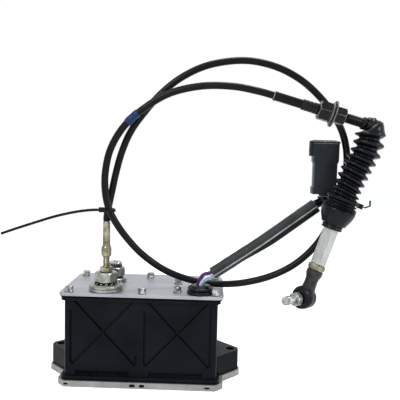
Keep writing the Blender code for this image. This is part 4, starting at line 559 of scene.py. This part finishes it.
def set_camera():
    yaw, pitch, roll = math.radians(-1.395), math.radians(-4.451), math.radians(1.345)
    ahead = Vector((math.sin(yaw) * math.cos(pitch), math.cos(yaw) * math.cos(pitch), math.sin(pitch)))
    level = Vector((math.cos(yaw), -math.sin(yaw), 0.0))
    upright = level.cross(ahead)
    right = level * math.cos(roll) + upright * math.sin(roll)
    up = upright * math.cos(roll) - level * math.sin(roll)
    data = bpy.data.cameras.new("camera")
    data.lens = 46.96
    data.sensor_width = 36.0
    data.sensor_fit = "HORIZONTAL"
    data.clip_start = 0.01
    camera = new_object("camera", data)
    place = Matrix((right, up, -ahead)).transposed().to_4x4()
    place.translation = Vector((0.0681, -0.5442, 0.2274))
    camera.matrix_world = place
    bpy.context.scene.camera = camera


def seen_rays(tree, rays):
    """One where the camera, a reflection or glass looks at a surface, and nothing elsewhere."""
    seen = tree.nodes.new("ShaderNodeMath")
    seen.operation = "MAXIMUM"
    tree.links.new(rays.outputs["Is Camera Ray"], seen.inputs[0])
    tree.links.new(rays.outputs["Is Glossy Ray"], seen.inputs[1])
    both = tree.nodes.new("ShaderNodeMath")
    both.operation = "MAXIMUM"
    tree.links.new(seen.outputs[0], both.inputs[0])
    tree.links.new(rays.outputs["Is Transmission Ray"], both.inputs[1])
    return both


def white_seen(tree, shader, strength):
    """Adds an even white to a surface where the camera, a reflection or glass looks at it."""
    both = seen_rays(tree, tree.nodes.new("ShaderNodeLightPath"))
    level = tree.nodes.new("ShaderNodeMath")
    level.operation = "MULTIPLY"
    level.inputs[1].default_value = strength
    tree.links.new(both.outputs[0], level.inputs[0])
    glow = tree.nodes.new("ShaderNodeEmission")
    glow.inputs["Color"].default_value = (1, 1, 1, 1)
    tree.links.new(level.outputs[0], glow.inputs["Strength"])
    total = tree.nodes.new("ShaderNodeAddShader")
    tree.links.new(shader.outputs[0], total.inputs[0])
    tree.links.new(glow.outputs[0], total.inputs[1])
    return total


def set_stage():
    size = 4.0
    mesh = bpy.data.meshes.new("floor")
    mesh.from_pydata([(-size, -size, 0), (size, -size, 0), (size, size, 0), (-size, size, 0)], [], [(0, 1, 2, 3)])
    floor = new_object("floor", mesh)
    pale = bpy.data.materials.new("floor")
    pale.use_nodes = True
    tree = pale.node_tree
    for node in list(tree.nodes):
        tree.nodes.remove(node)
    matt = tree.nodes.new("ShaderNodeBsdfDiffuse")
    matt.inputs["Color"].default_value = (0.74, 0.74, 0.75, 1)
    out = tree.nodes.new("ShaderNodeOutputMaterial")
    total = white_seen(tree, matt, 0.73)
    tree.links.new(total.outputs[0], out.inputs["Surface"])
    mesh.materials.append(pale)

    world = bpy.data.worlds.new("studio")
    bpy.context.scene.world = world
    world.use_nodes = True
    tree = world.node_tree
    for node in list(tree.nodes):
        tree.nodes.remove(node)
    dim = tree.nodes.new("ShaderNodeBackground")
    set_inputs(dim, {"Color": (0.93, 0.96, 1.0, 1), "Strength": 0.36})
    bright = tree.nodes.new("ShaderNodeBackground")
    set_inputs(bright, {"Color": (1, 1, 1, 1), "Strength": 1.0})
    rays = tree.nodes.new("ShaderNodeLightPath")
    choose = tree.nodes.new("ShaderNodeMixShader")
    out = tree.nodes.new("ShaderNodeOutputWorld")
    tree.links.new(seen_rays(tree, rays).outputs[0], choose.inputs["Fac"])
    tree.links.new(dim.outputs[0], choose.inputs[1])
    tree.links.new(bright.outputs[0], choose.inputs[2])
    tree.links.new(choose.outputs[0], out.inputs["Surface"])

    lamps = [
        ("key", (-0.35, -0.75, 0.85), (0.05, 0.0, 0.12), 0.28, 5.0),
        ("top", (0.15, 0.15, 1.05), (0.06, 0.0, 0.10), 0.4, 5.0),
        ("side", (0.95, -0.45, 0.45), (0.10, 0.0, 0.15), 0.2, 3.2),
        ("low", (-0.05, -1.1, 0.10), (0.05, 0.0, 0.08), 0.5, 1.0),
    ]
    for name, place, target, size, power in lamps:
        data = bpy.data.lights.new(name, "AREA")
        data.size = size
        data.energy = power
        lamp = new_object(name, data)
        towards = Vector(target) - Vector(place)
        lamp.rotation_euler = towards.to_track_quat("-Z", "Y").to_euler()
        lamp.location = place


# Box: housing, plates, screws

def dress_box():
    refined("gear_housing", "housing_skin", "black_moulding", 0.3, adjust=deeper_grooves)
    refined("base_plate", "base_casting", "cast_alloy", 0.4)
    refined("top_plate", "top_sheet", "plated_plate", 0.25)
    refined("top_gasket", "top_seal", "gasket", 0.2)
    refined("base_gasket", "base_seal", "gasket", 0.2)
    for index, (x, width, height) in enumerate(BASE_MARKS):
        fill = box((x - width / 2, 0.35 - BASE_HALF_Y, BASE_MARK_MIDDLE - height / 2),
                   (x + width / 2, 1.45 - BASE_HALF_Y, BASE_MARK_MIDDLE + height / 2))
        make("base_mark_%d" % index, fill, "gasket", bevel=0.15)


def deeper_grooves(shape):
    """Widens and sinks the panel grooves, which the photo shows nearly black."""
    shape.normal_update()
    walls = {}
    for face in shape.faces:
        levels = [abs(vert.co.y) for vert in face.verts]
        if abs(face.normal.y) < 0.05 and min(levels) > GROOVE_FLOOR_Y - 0.05:
            for vert in face.verts:
                walls.setdefault(vert, []).append(face.normal.copy())
    for vert, normals in walls.items():
        total = sum(normals, Vector())
        if total.length > 0.3 and vert.co.z > GROOVE_WIDENED_FROM:
            vert.co -= total * (GROOVE_WIDENED_BY * len(normals) / total.length_squared)
    for vert in shape.verts:
        if abs(abs(vert.co.y) - GROOVE_FLOOR_Y) < 0.02:
            vert.co.y -= math.copysign(GROOVE_SUNK_BY, vert.co.y)


def cap_screw():
    """A hexagon screw with a small flange, on Z from its seat."""
    flange = [(2.0, 0.05), (4.15, 0.05), (4.4, 0.2), (4.4, 0.75), (4.2, 1.0), (3.7, 1.2), (2.0, 1.2)]
    shape = turned(flange, 36, ring=True)
    merge(shape, nut(7.2, 0.5, 4.1, 0.95), at(0, 0, 1.05))
    merge(shape, turned([(0.0, 4.85), (1.5, 4.85), (1.8, 5.2), (0.0, 5.2)], 20))
    merge(shape, threaded(1.9, 0.25, 0.8, -10.7, 1.2, 16))
    return shape


def dress_screws():
    pattern = cap_screw()
    turn = 0.3
    for name, (x, y) in SCREW_PLACES.items():
        place = at(x, y, TOP_FACE + 0.25) @ Matrix.Rotation(turn, 4, "Z")
        make("screw_" + name, pattern.copy(), "bright_zinc", place, replaced=("top_screw_" + name,), bevel=0.1)
        turn += 0.9
    pattern.free()


# Gland, plug, grommet

def dress_gland():
    place = at(GLAND_X, GLAND_Y, 0)
    bore = 3.8
    low = TOP_FACE + GAP
    outline = [(bore, low), (16.6, low), (17.0, low + 0.4), (17.0, low + 2.6), (16.3, low + 3.0), (16.3, low + 3.4)]
    outline += [(16.9, low + 3.8), (16.9, low + 5.1), (15.8, low + 6.0), (13.4, low + 6.4), (bore, low + 6.4)]
    make("gland_base", turned(outline, 64, ring=True), "zinc", place, replaced=("gland_flange",))

    low += 6.4 + GAP
    washer = turned([(bore, low), (10.9, low), (10.9, low + 1.1), (bore, low + 1.1)], 48, ring=True)
    make("gland_star_washer", washer, "gasket", place, replaced=("gland_toothed_washer",))
    teeth = bmesh.new()
    for tooth in range(14):
        turn = Matrix.Rotation(2 * math.pi * tooth / 14, 4, "Z") @ Matrix.Translation((11.5, 0, low + 0.58))
        merge(teeth, box((-0.5, -1.15, -0.45), (0.8, 1.15, 0.45)), turn @ Matrix.Rotation(0.3, 4, "X"))
    make("gland_washer_teeth", teeth, "zinc", place, bevel=0.15)

    low += 1.2 + GAP
    make("gland_hexagon", nut(20.4, bore, 10.0, 0.75), "zinc", at(GLAND_X, GLAND_Y, low), replaced=("gland_nut",),
         bevel=0.2)
    low += 10.0 + GAP
    make("gland_lock_hexagon", nut(11.8, bore, 4.6, 0.62), "yellow_zinc", at(GLAND_X, GLAND_Y, low),
         replaced=("gland_jam_nut",), bevel=0.15)

    thread_top = 128.0
    stem = threaded(3.4, 0.42, 1.25, 86.2, thread_top, 28)
    collar = [(0.0, 127.6), (3.5, 127.6), (4.4, 128.8), (5.1, 130.2), (5.15, 131.2), (4.95, 131.6), (5.15, 132.0)]
    collar += [(5.15, 135.4), (4.95, 135.8), (5.1, 136.2), (4.9, 137.4), (4.2, 138.6), (3.9, 139.0), (0.0, 139.0)]
    merge(stem, turned(collar, 32))
    crimps = [(0.0, 138.6), (3.9, 138.6), (3.75, 141.0), (3.7, 150.0), (3.6, 160.6), (3.75, 161.2), (3.75, 162.4)]
    crimps += [(3.4, FERRULE_TOP), (0.0, FERRULE_TOP)]
    merge(stem, turned(crimps, 32))
    make("gland_screw_stem", stem, "yellow_zinc", place, replaced=("gland_stem",))


def dress_plug():
    place = at(PLUG_X - PLUG_MOVED_LEFT, PLUG_Y, 0)
    low = TOP_FACE + GAP
    outline = [(0.0, low - 4.0), (4.9, low - 4.0), (4.9, low), (11.6, low), (12.0, low + 0.4), (12.0, low + 3.2)]
    outline += [(11.2, low + 4.0), (9.8, low + 4.4), (0.0, low + 4.4)]
    body = turned(outline, 48)
    merge(body, nut(17.6, 3.0, 9.8, 0.8), at(0, 0, low + 5.6))
    make("plug_hexagon", body, "zinc", place, replaced=("plug_body",), bevel=0.15)
    seat = turned([(0.0, low + 4.3), (8.3, low + 4.3), (8.3, low + 5.7), (0.0, low + 5.7)], 32)
    make("plug_seat_ring", seat, "gasket", place)
    cap_low = low + 15.7
    rim = turned([(0.0, cap_low), (6.4, cap_low), (6.4, cap_low + 3.9), (0.0, cap_low + 3.9)], 40)
    for ridge in range(22):
        turn = Matrix.Rotation(2 * math.pi * ridge / 22, 4, "Z") @ Matrix.Translation((6.6, 0, 0))
        merge(rim, box((-0.5, -0.5, cap_low + 0.3), (0.5, 0.5, cap_low + 3.8)), turn)
    make("plug_knurled_cap", rim, "black_steel", place, replaced=("plug_cap",), bevel=0.2, rim_slot="bright_zinc")
    crown = turned([(0.0, cap_low + 3.8), (6.6, cap_low + 3.8), (6.9, cap_low + 4.2), (6.6, cap_low + 5.2),
                    (5.4, cap_low + 5.8), (0.0, cap_low + 5.8)], 40)
    make("plug_crown", crown, "bright_zinc", place)


def dress_grommet():
    low = TOP_FACE + GAP
    outline = [(4.0, low - 2.7), (6.4, low - 2.7), (6.4, low), (12.8, low), (13.3, low + 0.5), (13.3, low + 2.0)]
    outline += [(13.0, low + 2.7), (11.7, low + 3.0), (11.4, low + 3.5), (11.8, low + 4.0), (12.5, low + 4.5)]
    outline += [(12.5, low + 5.4), (12.0, low + 6.2), (10.4, low + 6.6), (10.0, low + 7.1), (9.7, low + 7.8)]
    outline += [(8.0, low + 8.4), (5.6, low + 8.6), (4.2, low + 8.2), (4.0, low + 7.6)]
    make("grommet_rings", turned(outline, 56, ring=True), "rubber", at(GROMMET_X, GROMMET_Y, 0),
         replaced=("grommet",), sharp=60)


# Wiring lead

def dress_lead():
    end = Vector(SLEEVE_ROUTE[0])
    ahead = (Vector(SLEEVE_ROUTE[1]) - end).normalized()
    stop = end - ahead * GAP
    across = ahead.cross(BACK).normalized()
    beside = ahead.cross(across)
    for name, degrees, radius in (("purple_wire", 205.0, 1.85), ("white_wire", 272.0, 1.15),
                                  ("blue_wire", 322.0, 1.5), ("dark_wire", 40.0, 1.6)):
        angle = math.radians(degrees)
        x = GROMMET_X + 2.1 * math.cos(angle)
        y = GROMMET_Y + 2.1 * math.sin(angle)
        offset = across * (-2.8 * math.cos(angle)) + beside * (-2.8 * math.sin(angle))
        leave = Vector((x, y, TOP_FACE + 10.2))
        middle = leave.lerp(stop + offset, 0.5) + Vector((-1.4, 0.0, 1.5)) + offset * 0.5
        route = [Vector((x, y, TOP_FACE - 1.0)), Vector((x, y, TOP_FACE + 5.0)), leave, middle,
                 stop + offset - ahead * 2.0, stop + offset + ahead * 3.0]
        wire = cord_curve("lead_" + name, smooth_path(route, 0.8), radius, name, 4)
        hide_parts(name)

    path = smooth_path(SLEEVE_ROUTE, 2.2)

    def section(share):
        """A sleeve slit along its length, with the slit's lips a little raised and its wall uneven."""
        points = []
        sides = 36
        for step in range(sides):
            angle = 2 * math.pi * step / sides
            seam = abs((angle - math.radians(SLIT_ANGLE) + math.pi) % (2 * math.pi) - math.pi)
            slit = 0.7 * math.exp(-(seam / 0.10) ** 2)
            lips = 0.25 * math.exp(-((seam - 0.24) / 0.12) ** 2)
            radius = SLEEVE_RADIUS - slit + lips
            radius += 0.16 * noise.noise(Vector((share * 26, math.cos(angle) * 1.4, math.sin(angle) * 1.4)))
            points.append((radius * math.cos(angle) * SLEEVE_WIDTH, radius * math.sin(angle) * SLEEVE_DEPTH))
        return points

    sleeve = make("slit_sleeve", swept(path, section), "sleeve", replaced=("wiring_sleeve",), sharp=60)

    def slit_highlight_section(share):
        """A painted highlight: a pale strip along the slit's edge for the light the edge catches, the same along the
        whole sleeve.
        """
        angle = math.radians(SLIT_ANGLE)
        reach, radius = SLEEVE_RADIUS + 0.05, 0.7
        x, y = reach * math.cos(angle) * SLEEVE_WIDTH, reach * math.sin(angle) * SLEEVE_DEPTH
        return [(x + radius * math.cos(math.pi * step / 4), y + radius * math.sin(math.pi * step / 4))
                for step in range(8)]

    # A pale strip along the slit's edge: a painted highlight.
    slit = make("sleeve_slit_painted_highlight", swept(path, slit_highlight_section), "painted_highlight")

    def jacket_section(share):
        """The wires' black jacket, which stands further out of the slit towards the connector."""
        out = min(1.0, share / 0.55)
        angle = math.radians(JACKET_ANGLE)
        reach, radius = 2.0 + 3.5 * out, 2.0 + 1.1 * out
        return [(reach * math.cos(angle) + radius * math.cos(math.pi * step / 10),
                 reach * math.sin(angle) + radius * math.sin(math.pi * step / 10)) for step in range(20)]

    jacket = make("sleeve_jacket", swept(path, jacket_section), "rubber")
    tail = cord_curve("lead_tail", smooth_path(TAIL_ROUTE, 0.8), 4.4, "rubber", 6)
    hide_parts("wiring_tail")
    connector = dress_connector()


def dress_connector():
    rings = []
    for height, reach in ((-2.2, 0.0), (-1.9, 0.45), (0.1, 0.45), (0.4, 0.2)):
        outline = rounded_rectangle(12.6 + reach, 9.0 + reach, 2.4 + reach, 5)
        rings.append([connector_point(x, y, height) for x, y in outline])
    for height in (0.4, -2.2):
        outline = rounded_rectangle(11.2, 7.6, 2.0, 5)
        rings.append([connector_point(x, y, height) for x, y in outline])
    latch = box((CONNECTOR_X - 16.2, CONNECTOR_Y - 2.6, CONNECTOR_TOP - 13.0),
                (CONNECTOR_X - 15.7, CONNECTOR_Y + 2.6, CONNECTOR_TOP - 8.0))
    shell = refined("connector_housing", "connector_shell", "grey_moulding", 0.3, extra=(latch,), adjust=sit_lower)
    # The lip's eased rims take the pale look: a painted highlight on its edges.
    lip = make("connector_lip", loft(rings, hollow=True), "grey_moulding", bevel=0.25, rim_slot="painted_highlight")
    collar = turned([(3.0, -5.0), (4.9, -5.0), (5.4, -3.0), (6.2, 0.6), (3.0, 0.6)], 36, ring=True)
    collar = make("tail_collar", collar, "rubber", at(*TAIL_ROUTE[-1]), sharp=60)
    return [shell, lip, collar, nodes["contact_carrier"], nodes["connector_seal"]]


def connector_point(x, y, height):
    """A point near the connector's open end, whose back lip stands a little higher."""
    rise = 0.2 * max(0.0, y) if height > -2.0 else 0.0
    return Vector((CONNECTOR_X + x, CONNECTOR_Y + y, CONNECTOR_TOP + height + rise - 2 * CONNECTOR_DROP))


def sit_lower(shape):
    """Lets the connector's shell sit a little lower over its seal, as the photo shows it."""
    for vert in shape.verts:
        share = min(1.0, max(0.0, 1.0 - (CONNECTOR_TOP - vert.co.z) / CONNECTOR_DROP_REACH))
        vert.co.z -= CONNECTOR_DROP + CONNECTOR_DROP * share


# Control cable

def on_fitting(reach):
    return along(FITTING_START + FITTING_AXIS * reach, FITTING_AXIS)


def dress_cable():
    ends = [FITTING_START, FITTING_START + FITTING_AXIS * 13.0, FITTING_START + FITTING_AXIS * (28.0 - GAP)]
    route = [Vector(point) for point in CONDUIT_ROUTE] + ends
    path = smooth_path(route, 4.0)
    cable = cord_curve("cable_jacket", path, CONDUIT_RADIUS, "conduit", 7)
    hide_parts("control_cable")
    pieces = [dress_tape(route, len(path) // 2), *dress_fitting(), *dress_ties()]


def dress_tape(route, first_point):
    """A band of tape in overlapping turns, on the straight stretch of the solid cable nearest its middle."""
    coarse = smooth_path(route, CABLE_STEP)
    later = range(len(coarse) // 2, len(coarse) - 1)
    first = min(later, key=lambda index: ((coarse[index] + coarse[index + 1]) / 2 - TAPE_MIDDLE).length)
    low, high = coarse[first], coarse[first + 1]
    near = [point for point in smooth_path(route, 1.2)[first_point:]
            if (point - low).length < CABLE_STEP + 0.2 and (point - high).length < CABLE_STEP + 0.2]
    wraps = []
    for index, place in enumerate(near):
        lap = 3.95 + 0.16 * (1 if (index // 3) % 2 else 0)
        ahead = near[min(index + 1, len(near) - 1)] - near[max(index - 1, 0)]
        wraps.append(ring_at(place, ahead, BACK, lap, 32))
    inside = [ring_at(place, near[-1] - near[0], BACK, CONDUIT_RADIUS + 0.02, 32) for place in (near[-1], near[0])]
    return make("tape_band", loft(wraps + inside, hollow=True), "blue_tape", replaced=("blue_tape",), sharp=40)


def dress_fitting():
    """The bulkhead fitting with the plain sleeve before it, as places along its axis."""
    label = [(3.6, 0.0), (4.4, 0.0), (4.6, 0.4), (4.6, 2.2), (4.35, 2.6), (4.35, 27.7), (3.6, 27.7)]
    label = make("plain_sleeve", turned(label, 36, ring=True), "conduit", on_fitting(0), replaced=("label_sleeve",))

    tube = [(0.0, 28.0), (4.6, 28.0), (5.3, 28.8)]
    reach = 30.0
    while reach < 40.0:
        tube += [(5.3, reach), (5.0, reach + 0.4), (5.0, reach + 1.6), (5.3, reach + 2.0)]
        reach += 3.6
    tube += [(5.3, 43.4), (4.7, 44.2), (4.5, 44.6), (0.0, 44.6)]
    tube = turned(tube, 32)
    merge(tube, threaded(4.8, 0.45, 1.25, 44.0, 87.8, 30))
    end = [(0.0, 87.0), (4.6, 87.0), (5.8, 87.8), (6.0, 88.2), (6.0, 90.6), (5.7, 91.1), (4.8, 91.8), (4.8, 94.2)]
    end += [(4.4, 94.6), (0.0, 94.6)]
    merge(tube, turned(end, 32))
    tube = make("bulkhead_screw_tube", tube, "black_steel", on_fitting(0), replaced=("bulkhead_tube",))

    bore = 5.1
    flange = make("bulkhead_hexagon", nut(17.2, bore, 12.0, 0.9), "black_steel", on_fitting(FLANGE_NUT_AT),
                  replaced=("flange_nut",), bevel=0.6, rim_slot="worn_rim")
    outline = [(bore, 0.0), (9.6, 0.0), (10.0, 0.3), (10.0, 0.9), (11.6, 1.1), (12.4, 1.4), (12.6, 1.8), (12.6, 2.7)]
    outline += [(12.2, 3.2), (bore, 3.4)]
    washer = make("bulkhead_cup_washer", turned(outline, 56, ring=True), "black_steel", on_fitting(WASHER_AT),
                  replaced=("bulkhead_washer",))
    rims = bmesh.new()
    for reach, height in ((9.9, 0.0), (12.5, 2.5)):
        merge(rims, turned([(reach - 0.9, height - 0.15), (reach + 0.15, height - 0.15), (reach + 0.15, height + 0.8),
                            (reach - 0.9, height + 0.8)], 56, ring=True))
    rims = make("bulkhead_washer_rims", rims, "worn_rim", on_fitting(WASHER_AT))
    ends = bmesh.new()
    merge(ends, turned([(3.6, -0.15), (4.72, -0.15), (4.72, 0.6), (3.6, 0.6)], 40, ring=True))
    ends = make("plain_sleeve_ends", ends, "worn_rim", on_fitting(0))
    lock = make("bulkhead_lock_hexagon", nut(15.0, bore, 10.4, 0.8), "black_steel", on_fitting(LOCK_NUT_AT),
                replaced=("bulkhead_lock_nut",), bevel=0.45, rim_slot="worn_rim")
    return [label, ends, tube, flange, washer, rims, lock]


def dress_ties():
    upper = refined("upper_cable_tie", "tie_upper", "nylon", 0.15)
    lower = refined("lower_cable_tie", "tie_lower", "nylon", 0.15)
    return [upper, lower]


# Bellows, rod, ball joint

def bellows_ring(x, z, lean, radius):
    angle = math.radians(lean)
    normal = Vector((-math.sin(angle), 0.0, -math.cos(angle)))
    return ring_at((x, CABLE_END_Y, z), normal, BACK, radius, ROUND_SIDES)


def dress_bellows():
    mouth = 87.5 + 3.6 + 0.5 + GAP
    outer = []
    for reach, turn_by, radius in ((0.0, 0.0, 6.6), (0.2, 0.0, 7.0), (1.6, 1.0, 7.2), (3.0, 4.0, 7.4),
                                   (3.5, 12.0, 8.0), (3.6, 18.0, 8.7)):
        centre = FITTING_START + FITTING_AXIS * (mouth + reach)
        slope = math.radians(90.0 - FITTING_FALL - turn_by)
        normal = Vector((math.sin(slope), 0.0, -math.cos(slope)))
        outer.append(ring_at(centre, normal, BACK, radius, ROUND_SIDES))
    outer += [bellows_ring(215.5, 262.4, -45.0, 8.9), bellows_ring(216.3, 261.5, -34.0, 10.9),
              bellows_ring(216.7, 260.9, -24.0, 12.2), bellows_ring(216.5, 259.4, -14.0, 12.6),
              bellows_ring(216.45, 257.9, -6.0, 12.8), bellows_ring(216.4, 256.6, 0.0, 13.3)]
    folds = BELLOWS_FOLDS + [CUP_RINGS[0]]
    steps = 12
    for (x, z, lean, radius), (next_x, next_z, next_lean, next_radius) in zip(folds, folds[1:]):
        pitch = math.hypot(next_x - x, next_z - z)
        dip = min(BELLOWS_DIP, pitch * BELLOWS_DIP_SHARE)
        for step in range(steps):
            share = step / steps
            depth = (0.5 - 0.5 * math.cos(2 * math.pi * share)) ** 1.2
            reach = radius + (next_radius - radius) * share - dip * depth
            outer.append(bellows_ring(x + (next_x - x) * share, z + (next_z - z) * share,
                                      lean + (next_lean - lean) * share, reach))
    for (x, z, lean, radius), (next_x, next_z, _, next_radius) in zip(CUP_RINGS, CUP_RINGS[1:3]):
        for step in range(steps):
            share = step / steps
            ridge = 0.55 * (0.5 - 0.5 * math.cos(4 * math.pi * share))
            outer.append(bellows_ring(x + (next_x - x) * share, z + (next_z - z) * share, lean,
                                      radius + (next_radius - radius) * share - ridge))
    outer += [bellows_ring(*ring) for ring in CUP_RINGS[2:]]
    inner = [bellows_ring(*CUP_RINGS[-1][:3], 8.0), bellows_ring(*CUP_RINGS[4][:3], BELLOWS_BORE)]
    inner += [bellows_ring(*ring[:3], BELLOWS_BORE) for ring in reversed(BELLOWS_FOLDS[::2])]
    inner.append(bellows_ring(217.0, 260.2, -22.0, BELLOWS_BORE))
    for reach in (3.4, 0.0):
        centre = FITTING_START + FITTING_AXIS * (mouth + reach)
        inner.append(ring_at(centre, FITTING_AXIS, BACK, 5.1, ROUND_SIDES))
    start = Vector((216.0, CABLE_END_Y, 256.0)) * MM
    stop = Vector((190.6, CABLE_END_Y, 186.0)) * MM
    make("bellows_skin", loft(outer + inner, hollow=True), "rubber", replaced=("bellows",), sharp=70,
         blend=("body", "rod", start, stop))


def rod_place(reach):
    return along(ROD_TOP + ROD_DIRECTION * reach, ROD_DIRECTION)


def dress_rod():
    bar = nut(13.0, 1.7, 50.0, 0.7)
    merge(bar, threaded(3.6, 0.42, 1.25, 49.0, 66.0, 24))
    make("hexagon_rod", bar, "bright_steel", rod_place(0.0), "rod", ("hex_rod",), bevel=0.15)
    cuff = [(7.7, 0.0), (9.4, 0.0), (10.0, 0.5), (10.1, 1.4), (9.6, 2.0), (9.6, 2.6), (10.1, 3.2), (10.0, 4.1)]
    cuff += [(9.4, 4.6), (7.7, 4.6)]
    make("cuff_ring", turned(cuff, ROUND_SIDES, ring=True), "rubber", rod_place(8.75), "rod", ("bellows_cuff",),
         sharp=60)
    make("rod_lock_hexagon", nut(14.8, 3.9, 5.6, 0.9), "yellow_zinc", rod_place(50.3), "rod", ("rod_lock_nut",),
         bevel=0.15)
    eye = eye_axis()
    axis = stud_axis(eye)
    dress_rod_end(along(BALL_CENTRE, eye, ROD_DIRECTION))
    dress_stud(along(BALL_CENTRE, axis, ROD_DIRECTION))
    dress_boot(eye, axis)


def dress_rod_end(head_place):
    """The rod end: a head with the ball's socket and a shank that screws onto the rod, with a black rubber cover over
    the head's front half as painted shade.
    """
    start = 56.2
    socket = 6.55
    shank_stop = BALL_REACH - start - socket - 1.6
    shank = [(0.0, 0.0), (7.3, 0.0), (7.9, 0.7), (7.9, 4.6), (7.4, 6.0), (6.6, 8.0), (6.2, 11.0), (6.4, 15.0)]
    shank += [(6.9, shank_stop), (0.0, shank_stop)]
    head = [(0.0, -8.0), (7.0, -8.0), (8.4, -7.2), (9.4, -6.0), (9.9, -4.4), (9.9, 4.2), (9.7, 5.1), (9.1, 5.6)]
    head += [(5.1, 5.6)]
    for step in range(12):
        angle = math.radians(50 - 140 * step / 11)
        head.append((socket * math.cos(angle), socket * math.sin(angle)))
    head[-1] = (0.0, -socket)
    forged = boolean(turned(head, 48), turned(shank, 40), "UNION", head_place.inverted() @ rod_place(start))
    bore = turned([(0.0, -1.0), (3.9, -1.0), (3.9, 12.0), (0.0, 12.0)], 24)
    forged = boolean(forged, bore, "DIFFERENCE", head_place.inverted() @ rod_place(start))
    make("rod_end_forging", softened(forged, 0.55, 3), "dark_steel", head_place, "rod", ("rod_end",), sharp=60)

    # Painted shade: a black rubber band over the front half of the head, standing in for the shade that darkens the
    # forging there.
    shade_cover_outline = [(9.2, 0.4), (10.8, 0.8), (11.4, 2.4), (11.3, 5.0), (10.6, 6.0), (9.2, 6.0)]
    make("rod_end_shade_cover", turned(shade_cover_outline, ROUND_SIDES, ring=True), "rubber", head_place, "rod", sharp=60)


def dress_stud(stud_place):
    """The ball on its neck, with a hexagon and a thread beyond it."""
    ball = []
    neck_angle = math.degrees(math.acos(NECK_RADIUS / BALL_RADIUS))
    for step in range(20):
        angle = math.radians(-90 + (90 + neck_angle) * step / 19)
        ball.append((BALL_RADIUS * math.cos(angle), BALL_RADIUS * math.sin(angle)))
    ball[0] = (0.0, -BALL_RADIUS)
    shoulder = ball + [(NECK_RADIUS, 9.2), (3.4, 9.9), (5.9, 10.4), (6.2, 10.8), (6.2, 11.3), (0.0, 11.3)]
    stud = turned(shoulder, 40)
    merge(stud, nut(12.4, 0.5, 5.2, 0.9), at(0, 0, STUD_SHOULDER))
    neck = [(0.0, 16.2), (4.9, 16.2), (4.9, 17.0), (3.7, 17.2), (3.7, 18.4), (0.0, 18.4)]
    merge(stud, turned(neck, 32))
    merge(stud, threaded(4.3, 0.6, 1.4, 18.0, 30.0, 30))
    make("stud_with_thread", stud, "silver_stud", stud_place, "stud", ("ball_stud",))


def dress_boot(eye, axis):
    """The ball's boot, from the head's face to the stud's shoulder, as levels of (share of the way, radius)."""
    rings = []
    low = 5.6 + GAP
    shoulder_at = STUD_SHOULDER - 2.2 - GAP
    levels = [(0.0, 9.4), (0.02, 10.0), (0.10, 10.8), (0.26, 11.1), (0.40, 10.7), (0.52, 9.7), (0.60, 9.0)]
    levels += [(0.68, 9.0), (0.76, 9.3), (0.86, 8.6), (0.94, 7.5), (1.0, 6.2)]
    inner = [(1.0, 5.0), (0.5, 7.4), (0.0, 7.2)]
    for share, radius in levels + inner:
        direction = eye.lerp(axis, share).normalized()
        centre = (BALL_CENTRE + eye * low).lerp(BALL_CENTRE + axis * shoulder_at, share)
        rings.append(ring_at(centre, direction, ROD_DIRECTION, radius, ROUND_SIDES))
    middle = (eye + axis).normalized()
    start_at = (BALL_CENTRE + middle * (low + 0.6)) * MM
    end_at = (BALL_CENTRE + middle * (shoulder_at - 0.6)) * MM
    make("boot_bulge", loft(rings, hollow=True), "rubber", replaced=("ball_boot",), sharp=60,
         blend=("rod", "boot", start_at, end_at))


def softened(shape, voxel, passes):
    """A shape remeshed finely and smoothed a little, as a forging is."""
    bmesh.ops.recalc_face_normals(shape, faces=shape.faces)
    spare = spare_object(shape)
    step = spare.modifiers.new("remesh", "REMESH")
    step.mode = "VOXEL"
    step.voxel_size = voxel
    ease = spare.modifiers.new("ease", "SMOOTH")
    ease.factor = 0.5
    ease.iterations = passes
    result = settled(spare)
    discard(spare)
    return result


def eye_axis():
    towards = Vector((-0.74, -0.63, 0.0))
    return (towards - ROD_DIRECTION * towards.dot(ROD_DIRECTION)).normalized()


def stud_axis(eye):
    return (eye * math.cos(STUD_TILT) + ROD_DIRECTION * math.sin(STUD_TILT)).normalized()


set_camera()
bpy.context.scene.view_settings.view_transform = "Standard"
set_stage()
dress_frame()
dress_cable()
dress_lead()
dress_box()
dress_screws()
dress_gland()
dress_plug()
dress_grommet()
dress_bellows()
dress_rod()
